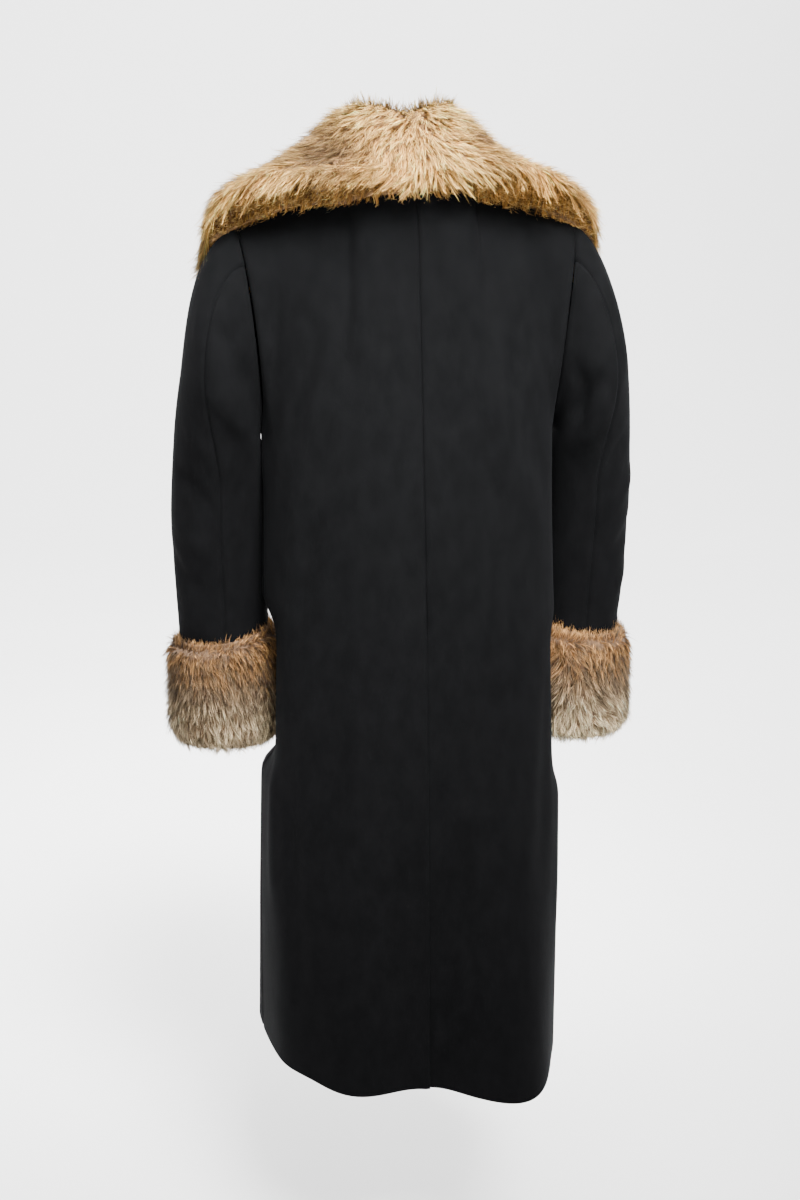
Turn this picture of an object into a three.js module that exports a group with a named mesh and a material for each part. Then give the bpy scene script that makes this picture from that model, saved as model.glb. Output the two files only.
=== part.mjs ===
// A long wool coat with a wide fur collar and deep fur cuffs, filled out as if it were worn.
// Millimetres, +Z up. The back faces +Y and +X is the wearer's left. The origin is at the nape, on the
// coat's axis: everything hangs down from there.
import * as THREE from "three";

// Cloth and seams.
const WALL = 2; // thickness of the wool
const SEAM_GAP = 0.8; // space between two sewn pieces
const LAP = 3.6; // step from one layer to the layer that laps over it

// Body.
const HEM_Z = -1148; // hem, on the axis
const HEM_TILT = 0.1; // the hem climbs towards +X by this share of the distance
const ARM_Z = -300; // underarm
const SIDE_Y = -5; // side seam, from the axis
const SQUARE = 0.85; // 1 makes an elliptical section, less a squarer one
const NECK = { halfWidth: 76, back: 76, sideY: 8, sideZ: 18 };
const SHOULDER_TIP = new THREE.Vector3(213, -5, -45);
const SHOULDER_SAG = 5; // how far the shoulder seam sinks halfway along
const VENT_TOP_Z = -545;
const VENT_LAP_STEP = 5; // how far under it lies
const VENT_LAP = 40; // how far the right back reaches under the left back
const FRONT_LAP = 38; // how far each front reaches past the centre

// Curve tangents that shape the panels between the underarm and the shoulder.
const SHOULDER_RISE = 16; // slope of the cloth where it reaches the shoulder seam
const SHOULDER_OUT = 6;
const SHOULDER_OVER = { centre: 150, more: 60 }; // how far it arches over the shoulder
const CHEST_UP = 280; // how far the cloth runs on up past the underarm
const ARMHOLE_BACK = 200; // how strongly the armhole bows to the back
const ARMHOLE_FRONT = 215;
const ARMHOLE_UP = 230;
const NAPE = [0, -60, 240]; // the back where it reaches the neckline
const LAPEL_START = [110, 0, 220]; // the front edge where it leaves the closed front, away from the centre
const LAPEL_END = [0, 175, 30]; // the front edge where it reaches the neck

// Sections of the body: height, half width, and reach of the back and the front from the axis.
const SECTIONS = [
  { z: -1148, width: 203, back: 172, front: 158 },
  { z: -900, width: 202, back: 160, front: 146 },
  { z: -650, width: 196, back: 150, front: 130 },
  { z: -430, width: 187, back: 134, front: 122 },
  { z: -300, width: 186, back: 119, front: 122 },
];

// Soft folds of the skirt: angle from the centre back towards +X, half width of the fold in degrees,
// height where it starts, how far it stands out (or sinks in) at the hem, and how far the hem drops there.
const FOLDS = [
  { angle: 25, spread: 18, top: -620, depth: 22, drop: 4 },
  { angle: 2, spread: 14, top: -700, depth: -16, drop: 0 },
  { angle: -30, spread: 20, top: -600, depth: 30, drop: 12 },
  { angle: 56, spread: 14, top: -480, depth: 9, drop: 0 },
  { angle: -70, spread: 16, top: -560, depth: -6, drop: 0 },
  { angle: 112, spread: 20, top: -640, depth: 14, drop: 0 },
  { angle: 148, spread: 16, top: -700, depth: -12, drop: 0 },
  { angle: -122, spread: 22, top: -620, depth: 15, drop: 0 },
  { angle: -152, spread: 15, top: -720, depth: -10, drop: 0 },
];

// Where the cuffs press into the sides: angle from the centre back, half width in degrees, height of
// the middle, half height, and depth.
const PRESSES = [
  { angle: 106, spread: 27, z: -642, tall: 104, depth: 34 },
  { angle: -106, spread: 27, z: -654, tall: 104, depth: 34 },
];
const PRESS_POWER = 8; // a higher power ends the press more sharply, up and down
const PRESS_ROWS = [-740, -768]; // heights where the cloth comes out again under the cuffs

// Sleeve sections, from under the shoulder to the wrist: centre, half width across, half depth from
// front to back, and how far the section leans up on its outer side, in degrees.
const SLEEVE = [
  { x: 241, y: -12, z: -268, across: 63, deep: 76, lean: 40 },
  { x: 243.5, y: -32, z: -338, across: 60.5, deep: 70, lean: 20 },
  { x: 245.8, y: -50, z: -425, across: 61.2, deep: 66, lean: 8 },
  { x: 243.6, y: -60, z: -510, across: 60.4, deep: 62, lean: 3 },
  { x: 241.5, y: -66, z: -600, across: 59.5, deep: 58, lean: 0 },
  { x: 243.5, y: -68, z: -714, across: 59.5, deep: 57, lean: 0 },
];
const CAP_OUT = { left: 168, right: 118 }; // how strongly the cap of the sleeve bows out, as a curve tangent
const SLEEVE_TWIST = 36; // degrees by which the elbow seam turns to the back below the armhole
const SLEEVE_AROUND = 20; // steps round a sleeve
const ELBOW_SEAM = 7; // the step of each of its two seams
const FRONT_SEAM = 18;
const ARMHOLE_RINGS = 5; // rings from the armhole to the first sleeve section
const SLEEVE_RINGS = 11; // rings from there to the wrist

// Fur cuffs, along the sleeve: distance of the top edge above the sleeve's end and of the bottom edge
// below it, how much higher the top is towards the body, and how far the fur stands off the sleeve.
const CUFF = { above: 138, rise: 24, below: 9, outer: 19, inner: 24, around: 40, clear: 0.6 };
const CUFF_ROWS = 10; // rows of points down the outside, and as many up the inside
const CUFF_LIP = 5; // how thick the fur is at its rounded top and bottom
const CUFF_SQUARE = 7; // a higher power rounds less of the top and bottom
const RIGHT_DROP = 12; // the right sleeve hangs this much lower at the wrist

// Fur collar: a row for each place round the neck, from the centre back (0) over the shoulder seam (0.5)
// to the front end (1). Crest is the top of the roll, brow the middle of the fall, rim where the fur
// turns in again, and edge its free edge.
const COLLAR = [
  { at: 0.0, crest: [0, 64, 98], brow: [0, 104, 54], rim: [0, 119, 24], edge: [0, 112, 12] },
  { at: 0.13, crest: [38, 50, 106], brow: [66, 92, 50], rim: [90, 108, 22], edge: [94, 101, 15] },
  { at: 0.32, crest: [60, 26, 103], brow: [120, 56, 42], rim: [182, 78, 15], edge: [186, 66, 18] },
  { at: 0.42, crest: [61, 10, 101], brow: [132, 30, 37], rim: [222, 38, -6], edge: [230, 30, 6] },
  { at: 0.5, crest: [62, -4, 98], brow: [142, 2, 30], rim: [242, -4, -18], edge: [257, -14, -72] },
  { at: 0.66, crest: [62, -42, 70], brow: [132, -74, 4], rim: [208, -102, -56], edge: [224, -94, -112] },
  { at: 0.83, crest: [50, -96, -36], brow: [100, -134, -84], rim: [152, -148, -160], edge: [166, -138, -196] },
  { at: 1.0, crest: [20, -134, -186], brow: [50, -154, -214], rim: [80, -156, -244], edge: [88, -146, -264] },
];
const COLLAR_END = 0.3; // where the collar stops on the front edge, between the underarm (0) and the neck (1)
const COLLAR_STATIONS = 25;
const COLLAR_CLEAR = 8; // room between the fall and the cloth under it
const COLLAR_SWAY = 12; // how far the top of the roll leans towards +X
// How the halves differ: the left is wider and stands higher over the shoulder, and the free edge of
// the right is lifted beside the nape.
const HALVES = {
  left: {
    wider: { crest: 1, brow: 1.11, rim: 1.03, edge: 1 },
    higher: { crest: 0, brow: 5, rim: 8, edge: 0 },
    around: 0.5,
    spread: 0.17,
  },
  right: {
    wider: { crest: 1, brow: 1, rim: 1, edge: 1 },
    higher: { crest: 0, brow: 5, rim: 8, edge: 12 },
    around: 0.17,
    spread: 0.12,
  },
};
const COLLAR_ROOT = 1.8; // how far off the neckline it is sewn
const ROOT_INSIDE = [-3, 0.8]; // out from the chest, at the back and the front: where the inside starts
const ROOT_UNDER = 2.8; // and where the underside starts
const ROLL = [17, 10]; // how far the inside lies behind the crest, at the back and front
const ROLL_SHARE = 0.6; // the share of that kept lower down
const CREST_SINK = 0.12; // how far below the crest the inside turns over, as a share of its height
const UNDERSIDE = [0.95, 0.86, 0.76, 0.65, 0.54, 0.43, 0.32, 0.2, 0.1]; // from the edge (1) to the neck (0)
const CLEAR_POWER = 0.4; // the room under the collar grows with this power of that share
const CAST_FROM = 90; // the cloth is sought from this far outside
const BESIDE_SEAM = 2; // the cloth is sought at least this far from the seams at the centre
const CHEST_DROP = 70; // the cloth is sought from a point this far below, inside the chest

// Buttons, down the centre front.
const BUTTON = { radius: 14, thick: 4.5, from: -330, step: -130, count: 3, clear: 0.7 };

const WOOL = { color: 0x16171a, roughness: 0.92, metalness: 0 };
const FUR = { color: 0xb8946a, roughness: 0.95, metalness: 0 };
const HORN = { color: 0x0d0c0c, roughness: 0.35, metalness: 0 };

const coat = new THREE.Group();
coat.name = "fur_collar_coat";

const radians = THREE.MathUtils.degToRad;
const lerp = THREE.MathUtils.lerp;
const smooth = THREE.MathUtils.smoothstep;
const vector = (x, y, z) => new THREE.Vector3(x, y, z);
const steps = (from, to, count) =>
  Array.from({ length: count + 1 }, (_, i) => lerp(from, to, i / count));

// ---- Curves through the tables -------------------------------------------------------------------

// The value of one column of a table at a place between its rows, on a smooth curve through them.
function between(rows, at, column, place) {
  const last = rows.length - 1;
  const rising = rows[last][at] > rows[0][at];
  let i = 0;
  while (i < last - 1 && (rising ? rows[i + 1][at] < place : rows[i + 1][at] > place)) i += 1;
  const slope = (k) => {
    const a = rows[Math.max(k - 1, 0)];
    const b = rows[Math.min(k + 1, last)];
    return (column(b) - column(a)) / (b[at] - a[at]);
  };
  const span = rows[i + 1][at] - rows[i][at];
  const t = THREE.MathUtils.clamp((place - rows[i][at]) / span, 0, 1);
  return hermite(column(rows[i]), slope(i) * span, column(rows[i + 1]), slope(i + 1) * span, t);
}

function hermite(p0, t0, p1, t1, t) {
  const t2 = t * t;
  const t3 = t2 * t;
  return (2 * t3 - 3 * t2 + 1) * p0 + (t3 - 2 * t2 + t) * t0 + (3 * t2 - 2 * t3) * p1 + (t3 - t2) * t1;
}

function hermitePoint(p0, t0, p1, t1, t) {
  return vector(
    hermite(p0.x, t0.x, p1.x, t1.x, t),
    hermite(p0.y, t0.y, p1.y, t1.y, t),
    hermite(p0.z, t0.z, p1.z, t1.z, t),
  );
}

// ---- Closed solids from grids ---------------------------------------------------------------------

// A mesh from points and triangles, turned so that its faces point out.
function solid(name, points, triangles, finish) {
  let volume = 0;
  for (const [a, b, c] of triangles)
    volume += points[a].dot(points[b].clone().cross(points[c]));
  const faces = volume < 0 ? triangles.map(([a, b, c]) => [a, c, b]) : triangles;
  const geometry = new THREE.BufferGeometry();
  geometry.setFromPoints(points);
  geometry.setIndex(faces.flat());
  geometry.computeVertexNormals();
  const mesh = new THREE.Mesh(geometry, new THREE.MeshStandardMaterial(finish));
  mesh.name = name;
  coat.add(mesh);
  return mesh;
}

// Two triangles for each cell of a grid of points, row after row.
function gridFaces(rows, columns, first = 0) {
  const faces = [];
  for (let j = 0; j < rows - 1; j += 1)
    for (let i = 0; i < columns - 1; i += 1) {
      const a = first + j * columns + i;
      const c = a + columns;
      faces.push([a, a + 1, c + 1], [a, c + 1, c]);
    }
  return faces;
}

// The direction out of a surface at a point, away from the heart of the piece there.
function outward(surface, u, v, uRange, vRange, heart) {
  const step = 1e-3;
  const at = (a, b) =>
    surface(THREE.MathUtils.clamp(a, ...uRange), THREE.MathUtils.clamp(b, ...vRange));
  const du = at(u + step, v).sub(at(u - step, v));
  const dv = at(u, v + step).sub(at(u, v - step));
  const normal = du.cross(dv).normalize();
  const away = at(u, v).sub(heart(at(u, v)));
  return away.dot(normal) < 0 ? normal.negate() : normal;
}

// A wall of cloth: the surface sampled at us and vs, the same points a wall's thickness further in, and
// the four edges. Each edge is drawn back by half a seam gap.
function wall(name, surface, us, vs, heart) {
  const columns = us.length;
  const rows = vs.length;
  const uRange = [us[0], us[columns - 1]];
  const vRange = [vs[0], vs[rows - 1]];
  const grid = vs.map((v) => us.map((u) => surface(u, v)));
  const back = vs.map((v) =>
    us.map((u) => outward(surface, u, v, uRange, vRange, heart).multiplyScalar(-WALL)),
  );
  const drawn = (j, i) => {
    const p = grid[j][i].clone();
    const pull = (k, l) =>
      p.add(grid[k][l].clone().sub(grid[j][i]).setLength(SEAM_GAP / 2));
    if (i === 0) pull(j, 1);
    if (i === columns - 1) pull(j, columns - 2);
    if (j === 0) pull(1, i);
    if (j === rows - 1) pull(rows - 2, i);
    return p;
  };
  const outer = [];
  const inner = [];
  for (let j = 0; j < rows; j += 1)
    for (let i = 0; i < columns; i += 1) {
      const p = drawn(j, i);
      outer.push(p);
      inner.push(p.clone().add(back[j][i]));
    }
  const count = outer.length;
  const faces = gridFaces(rows, columns);
  for (const [a, b, c] of gridFaces(rows, columns, count)) faces.push([a, c, b]);
  const edge = (a, b) => faces.push([b, a, a + count], [b, a + count, b + count]);
  for (let i = 0; i < columns - 1; i += 1) {
    edge(i, i + 1);
    edge((rows - 1) * columns + i + 1, (rows - 1) * columns + i);
  }
  for (let j = 0; j < rows - 1; j += 1) {
    edge((j + 1) * columns, j * columns);
    edge(j * columns + columns - 1, (j + 1) * columns + columns - 1);
  }
  return solid(name, [...outer, ...inner], faces, WOOL);
}

// A thick piece from closed loops of points, one after another, shut by a fan at each end.
function loft(name, loops, finish) {
  const count = loops[0].length;
  const points = loops.flat();
  const faces = [];
  for (let j = 0; j < loops.length - 1; j += 1)
    for (let i = 0; i < count; i += 1) {
      const a = j * count + i;
      const b = j * count + ((i + 1) % count);
      faces.push([a, b, b + count], [a, b + count, a + count]);
    }
  for (const [loop, turned] of [[0, true], [loops.length - 1, false]]) {
    const middle = points.length;
    points.push(
      loops[loop].reduce((sum, p) => sum.add(p), vector(0, 0, 0)).divideScalar(count),
    );
    for (let i = 0; i < count; i += 1) {
      const a = loop * count + i;
      const b = loop * count + ((i + 1) % count);
      faces.push(turned ? [b, a, middle] : [a, b, middle]);
    }
  }
  return solid(name, points, faces, finish);
}

// ---- Body -----------------------------------------------------------------------------------------

const power = (value) => Math.sign(value) * Math.abs(value) ** SQUARE;

// The angle at which a section reaches a given distance across the centre line.
function angleAcross(distance, z) {
  const width = between(SECTIONS, "z", (row) => row.width, z);
  return Math.asin((distance / width) ** (1 / SQUARE));
}

// How far the folds move the cloth out (depth) or down (drop) at an angle from the centre back, in
// degrees towards +X.
function folded(column, angle, z) {
  let depth = 0;
  for (const fold of FOLDS) {
    let away = Math.abs(angle - fold.angle);
    away = Math.min(away, 360 - away) / fold.spread;
    const grown = THREE.MathUtils.clamp((fold.top - z) / (fold.top - HEM_Z), 0, 1);
    depth += fold[column] * Math.exp(-away * away) * grown ** 1.4;
  }
  if (column !== "depth") return depth;
  for (const press of PRESSES) {
    const round = (angle - press.angle) / press.spread;
    const high = (z - press.z) / press.tall;
    depth -= press.depth * Math.exp(-round * round - high ** PRESS_POWER);
  }
  return depth;
}

// How far a layer stands out (over) or in (under) where two panels lap.
function lapOffset(side, face, x, z) {
  const beyond = -x * side; // distance past the centre, onto the other side
  if (face === "front") return side < 0 ? LAP * smooth(beyond, -75, -45) : 0;
  if (side > 0) return 0;
  return -VENT_LAP_STEP * smooth(beyond, -60, -14) * smooth(-z, -VENT_TOP_Z - 70, -VENT_TOP_Z - 12);
}

// A point of the body below the arms. Side is 1 for +X. The angle runs from the panel's own centre line
// to the side seam and is negative past the centre.
function skirtPoint(side, face, angle, z) {
  const read = (column) => between(SECTIONS, "z", (row) => row[column], z);
  const width = read("width");
  const depth = read(face);
  const turn = face === "back" ? 1 : -1;
  const x = side * width * power(Math.sin(angle));
  const y = SIDE_Y + turn * (depth + (face === "back" ? -SIDE_Y : SIDE_Y)) * power(Math.cos(angle));
  const fromBack = (side * (face === "back" ? angle : Math.PI - angle) * 180) / Math.PI;
  const out = vector(side * depth * Math.sin(angle), turn * width * Math.cos(angle), 0).normalize();
  const shift = folded("depth", fromBack, z) + lapOffset(side, face, x, z);
  const fall = (ARM_Z - z) / (ARM_Z - HEM_Z);
  const low = z + HEM_TILT * x * fall - folded("drop", fromBack, z);
  return vector(x, y, low).addScaledVector(out, shift);
}

// The angle of a panel's own edge at the centre: past it where the panel laps another.
function edgeAngle(side, face, z) {
  if (face === "front") return -angleAcross(FRONT_LAP, z);
  if (side > 0) return 0;
  return -angleAcross(VENT_LAP, z) * smooth(-z, -VENT_TOP_Z - 8, -VENT_TOP_Z + 34);
}

// The top edge of the back: half the neckline, then the shoulder seam. The front has the seam alone.
const NECK_SHARE = 4 / 14;
function shoulderSeam(side, share) {
  const start = vector(NECK.halfWidth, NECK.sideY, NECK.sideZ);
  const point = start.lerp(SHOULDER_TIP, share);
  point.z -= SHOULDER_SAG * Math.sin(Math.PI * share);
  point.x *= side;
  return point;
}

function topEdge(side, face, u) {
  if (face === "front") return shoulderSeam(side, u);
  if (u > NECK_SHARE) return shoulderSeam(side, (u - NECK_SHARE) / (1 - NECK_SHARE));
  const turn = (u / NECK_SHARE) * (Math.PI / 2);
  return vector(
    side * NECK.halfWidth * Math.sin(turn),
    NECK.sideY + (NECK.back - NECK.sideY) * Math.cos(turn),
    NECK.sideZ * (1 - Math.cos(turn)),
  );
}

// A point of a body panel: u from the centre to the side, v from the hem (0) to the underarm (1) and on
// to the shoulder (2).
function panelPoint(side, face, u, v) {
  const angleAt = (z) => lerp(edgeAngle(side, face, z), Math.PI / 2, u);
  if (v <= 1) {
    const z = lerp(HEM_Z, ARM_Z, v);
    return skirtPoint(side, face, angleAt(z), z);
  }
  const turn = face === "back" ? 1 : -1;
  const start = skirtPoint(side, face, angleAt(ARM_Z), ARM_Z);
  const below = skirtPoint(side, face, angleAt(ARM_Z - 10), ARM_Z - 10);
  const rising = start.clone().sub(below).setLength(CHEST_UP);
  const bow = face === "back" ? ARMHOLE_BACK : ARMHOLE_FRONT;
  rising.lerp(vector(0, turn * bow, ARMHOLE_UP), smooth(u, 0.72, 1));
  const over = SHOULDER_OVER.centre + SHOULDER_OVER.more * u;
  let arriving = vector(side * SHOULDER_OUT, -turn * over, SHOULDER_RISE);
  if (face === "back") {
    arriving = vector(...NAPE).lerp(arriving, smooth(u, 0, NECK_SHARE * 0.95));
  } else {
    const [x, y, z] = LAPEL_START;
    rising.lerp(vector(side * x, y, z), 1 - smooth(u, 0, 0.3));
    arriving = vector(...LAPEL_END).lerp(arriving, smooth(u, 0, 0.12));
  }
  return hermitePoint(start, rising, topEdge(side, face, u), arriving, v - 1);
}

const bodyHeart = (p) => vector(p.x * 0.45, 0, Math.min(p.z, -60) - 40);
const ARMHOLE_STEPS = SLEEVE_AROUND / 2;
const armholeRows = steps(1, 2, ARMHOLE_STEPS);
const skirtRows = [
  ...steps(0, 0.6, 7),
  ...steps(0.6, 1, 6).slice(1, -1),
];
const ventRow = (ARM_Z - VENT_TOP_Z) / (ARM_Z - HEM_Z);
const pressRows = PRESS_ROWS.map((z) => (z - HEM_Z) / (ARM_Z - HEM_Z));
const panelRows = [...skirtRows, ...pressRows, 1 - ventRow + 0.03, 1 - ventRow - 0.02, ...armholeRows]
  .sort((a, b) => a - b)
  .filter((v, i, all) => i === 0 || v - all[i - 1] > 0.012);
const SEAM_COLUMNS = 10;
const backColumns = [...steps(0, NECK_SHARE, 6), ...steps(NECK_SHARE, 1, SEAM_COLUMNS).slice(1)];
const frontColumns = steps(0, 1, SEAM_COLUMNS);

// ---- Sleeves --------------------------------------------------------------------------------------

// The loop of the armhole: from the underarm (0) up the back to the shoulder (10) and down the front.
function armholePoint(side, i) {
  const step = ((i % SLEEVE_AROUND) + SLEEVE_AROUND) % SLEEVE_AROUND;
  const face = step <= ARMHOLE_STEPS ? "back" : "front";
  const climbed = face === "back" ? step : SLEEVE_AROUND - step;
  return panelPoint(side, face, 1, 1 + climbed / ARMHOLE_STEPS);
}

// A point of the plain sleeve. Ring counts the rows of the sleeve's table, and step goes round.
function sleeveSection(side, step, ring, outset = 0) {
  const rows = SLEEVE.map((row, index) => ({ ...row, index }));
  const read = (column) => between(rows, "index", (row) => row[column], ring);
  const twist = SLEEVE_TWIST * smooth(ring, -1, 1.5);
  const angle = radians(180 - (step * 360) / SLEEVE_AROUND + twist);
  const lean = radians(read("lean"));
  const across = Math.cos(angle) * (read("across") + outset);
  const drop = side < 0 ? (RIGHT_DROP * ring) / (SLEEVE.length - 1) : 0;
  return vector(
    side * (read("x") + across * Math.cos(lean)),
    read("y") + Math.sin(angle) * (read("deep") + outset),
    read("z") + across * Math.sin(lean) - drop,
  );
}

// A point of the whole sleeve: v from the armhole (-1) to the first section (0) and down to the wrist.
function sleevePoint(side, step, v) {
  if (v >= 0) return sleeveSection(side, step, v);
  const start = armholePoint(side, step);
  const end = sleeveSection(side, step, 0);
  const loop = (step * 2 * Math.PI) / SLEEVE_AROUND;
  const height = (1 - Math.cos(loop)) / 2;
  const bow = side > 0 ? CAP_OUT.left : CAP_OUT.right;
  const leaving = vector(side * (12 + bow * height), 34 * Math.sin(loop), -14 - 26 * height);
  const down = sleeveSection(side, step, 0.1).sub(end);
  const arriving = down.setLength(start.distanceTo(end) * 0.8);
  return hermitePoint(start, leaving, end, arriving, v + 1);
}

const WRIST = SLEEVE.length - 1;
const sleeveRings = [...steps(-1, 0, ARMHOLE_RINGS), ...steps(0, WRIST, SLEEVE_RINGS).slice(1)];

function sleeveHeart(side) {
  return (p) => {
    const z = Math.min(p.z, SLEEVE[0].z + 10);
    const centre = (column) => between(SLEEVE, "z", (row) => row[column], z);
    return vector(side * (centre("x") - (p.z > z ? 12 : 0)), centre("y"), z);
  };
}

function makeSleeve(side, word) {
  const surface = (step, v) => sleevePoint(side, step, v);
  const heart = sleeveHeart(side);
  const upper = steps(ELBOW_SEAM, FRONT_SEAM, FRONT_SEAM - ELBOW_SEAM);
  const around = SLEEVE_AROUND + ELBOW_SEAM;
  const under = steps(FRONT_SEAM, around, around - FRONT_SEAM);
  wall(`sleeve_${word}_upper`, surface, upper, sleeveRings, heart);
  wall(`sleeve_${word}_under`, surface, under, sleeveRings, heart);
}

// ---- Cuffs ----------------------------------------------------------------------------------------

// A ring of fur round the end of the sleeve, with a rounded top and bottom. Its inside follows the sleeve.
function makeCuff(side, word) {
  const wristLength = SLEEVE[WRIST - 1].z - SLEEVE[WRIST].z;
  const bottom = WRIST + CUFF.below / wristLength;
  const rows = CUFF_ROWS;
  const place = (step, share, outset, rise) => {
    const ring = lerp(WRIST - (CUFF.above + rise) / wristLength, bottom, share);
    const p = sleeveSection(side, step, Math.min(ring, WRIST), outset);
    p.z -= Math.max(ring - WRIST, 0) * wristLength;
    return p;
  };
  const count = CUFF.around;
  const points = [];
  for (let k = 0; k < rows * 2; k += 1) {
    const outside = k < rows;
    const share = outside ? k / (rows - 1) : 1 - (k - rows) / (rows - 1);
    const swell = Math.sqrt(Math.max(0, 1 - Math.abs(2 * share - 1) ** CUFF_SQUARE));
    for (let i = 0; i < count; i += 1) {
      const step = (i * SLEEVE_AROUND) / count;
      const towardsBody = (1 - Math.cos(radians(180 - (step * 360) / SLEEVE_AROUND + SLEEVE_TWIST))) / 2;
      const pile = lerp(CUFF.outer, CUFF.inner, towardsBody);
      const outset = CUFF.clear + (outside ? CUFF_LIP + (pile - CUFF_LIP) * swell : 0);
      points.push(place(step, share, outset, CUFF.rise * towardsBody ** 2));
    }
  }
  const faces = [];
  for (let k = 0; k < rows * 2; k += 1)
    for (let i = 0; i < count; i += 1) {
      const next = ((k + 1) % (rows * 2)) * count;
      const a = k * count + i;
      const b = k * count + ((i + 1) % count);
      faces.push([a, b, next + ((i + 1) % count)], [a, next + ((i + 1) % count), next + i]);
    }
  return solid(`cuff_${word}`, points, faces, FUR);
}

// ---- Collar ---------------------------------------------------------------------------------------

// A place on the neckline, from the nape (0) to the neck end of the shoulder seam (0.5) and down the
// front edge: the point, and the direction that leads off the cloth.
function neckline(side, at) {
  if (at <= 0.5) {
    const u = NECK_SHARE * 2 * at;
    const point = panelPoint(side, "back", u, 2);
    const inward = vector(-point.x, NECK.sideY - point.y, 0).normalize();
    return { point, off: inward.setZ(1).normalize() };
  }
  const v = 2 - (at - 0.5) * 2 * (1 - COLLAR_END);
  const point = panelPoint(side, "front", 0, v);
  return { point, off: point.clone().sub(panelPoint(side, "front", 0.03, v)).normalize() };
}

// The direction out of the chest at a point on or near the cloth.
function outOfChest(near) {
  return vector(near.x * 0.6, near.y, CHEST_DROP).normalize();
}

// The outside of the cloth next to a point, moved out by the room under the collar.
const caster = new THREE.Raycaster();
function onCloth(cloth, side, near, clearance) {
  near.x = side * Math.max(side * near.x, BESIDE_SEAM);
  const away = outOfChest(near);
  caster.set(near.clone().addScaledVector(away, CAST_FROM), away.clone().negate());
  const [hit] = caster.intersectObjects(cloth);
  return (hit ? hit.point : near.clone()).addScaledVector(away, clearance);
}

const sway = (z) => COLLAR_SWAY * smooth(z, -20, 100);

function makeCollar(side, word, cloth) {
  const read = (at, key) => {
    const p = vector(...[0, 1, 2].map((k) => between(COLLAR, "at", (row) => row[key][k], at)));
    const { wider, higher, around, spread } = HALVES[word];
    p.z += higher[key] * Math.exp(-(((at - around) / spread) ** 2));
    p.x = side * p.x * wider[key] + sway(p.z);
    return p;
  };
  const loops = [];
  for (const at of steps(0, 1, COLLAR_STATIONS - 1)) {
    const { point, off } = neckline(side, at);
    const root = point.addScaledVector(off, COLLAR_ROOT);
    const crest = read(at, "crest");
    const brow = read(at, "brow");
    const edge = onCloth(cloth, side, read(at, "edge"), COLLAR_CLEAR);
    const out = brow.clone().sub(crest).setZ(0).normalize();
    const roll = lerp(...ROLL, at) * ROLL_SHARE;
    const rise = crest.clone().sub(root);
    const away = outOfChest(root);
    const line = new THREE.CatmullRomCurve3([
      root.clone().addScaledVector(away, lerp(...ROOT_INSIDE, at)),
      root.clone().addScaledVector(rise, 0.5).addScaledVector(out, -roll),
      crest.clone().addScaledVector(out, -roll).addScaledVector(rise, -CREST_SINK),
      crest,
      brow,
      read(at, "rim"),
      edge,
    ]);
    const upper = steps(0, 1, 14).map((t) => line.getPoint(t));
    const under = UNDERSIDE.map((share) =>
      onCloth(cloth, side, root.clone().lerp(edge, share), COLLAR_CLEAR * share ** CLEAR_POWER),
    );
    loops.push([...upper, ...under, root.clone().addScaledVector(away, ROOT_UNDER)]);
  }
  for (const p of loops[0]) p.x = (side * SEAM_GAP) / 2 + sway(p.z);
  return loft(`collar_${word}`, loops, FUR);
}

// ---- Buttons --------------------------------------------------------------------------------------

// A plain disc with a raised rim, lying on the front at a height.
function makeButton(name, z) {
  const { radius, thick } = BUTTON;
  const profile = [
    [0, 0],
    [radius * 0.8, 0],
    [radius, thick * 0.4],
    [radius * 0.93, thick],
    [radius * 0.72, thick * 0.8],
    [0, thick * 0.7],
  ].map(([x, y]) => new THREE.Vector2(x, y));
  const geometry = new THREE.LatheGeometry(profile, 20);
  const mesh = new THREE.Mesh(geometry, new THREE.MeshStandardMaterial(HORN));
  const seat = skirtPoint(-1, "front", 0.001, z);
  mesh.name = name;
  mesh.rotation.x = Math.PI;
  mesh.position.set(0, seat.y - BUTTON.clear, z);
  coat.add(mesh);
}

// ---- The coat -------------------------------------------------------------------------------------

const SIDES = [
  [1, "left"],
  [-1, "right"],
];
const cloth = [];
for (const [side, word] of SIDES) {
  const back = (u, v) => panelPoint(side, "back", u, v);
  const front = (u, v) => panelPoint(side, "front", u, v);
  cloth.push(wall(`back_${word}`, back, backColumns, panelRows, bodyHeart));
  cloth.push(wall(`front_${word}`, front, frontColumns, panelRows, bodyHeart));
  makeSleeve(side, word);
  makeCuff(side, word);
}
const under = coat.children.filter((mesh) => !mesh.name.startsWith("cuff"));
for (const [side, word] of SIDES) makeCollar(side, word, under);
for (let i = 0; i < BUTTON.count; i += 1) makeButton(`button_${i + 1}`, BUTTON.from + BUTTON.step * i);

export default coat;
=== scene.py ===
import math
from functools import partial

import bmesh
import bpy
import numpy as np
from mathutils import Matrix, Vector, kdtree


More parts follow.
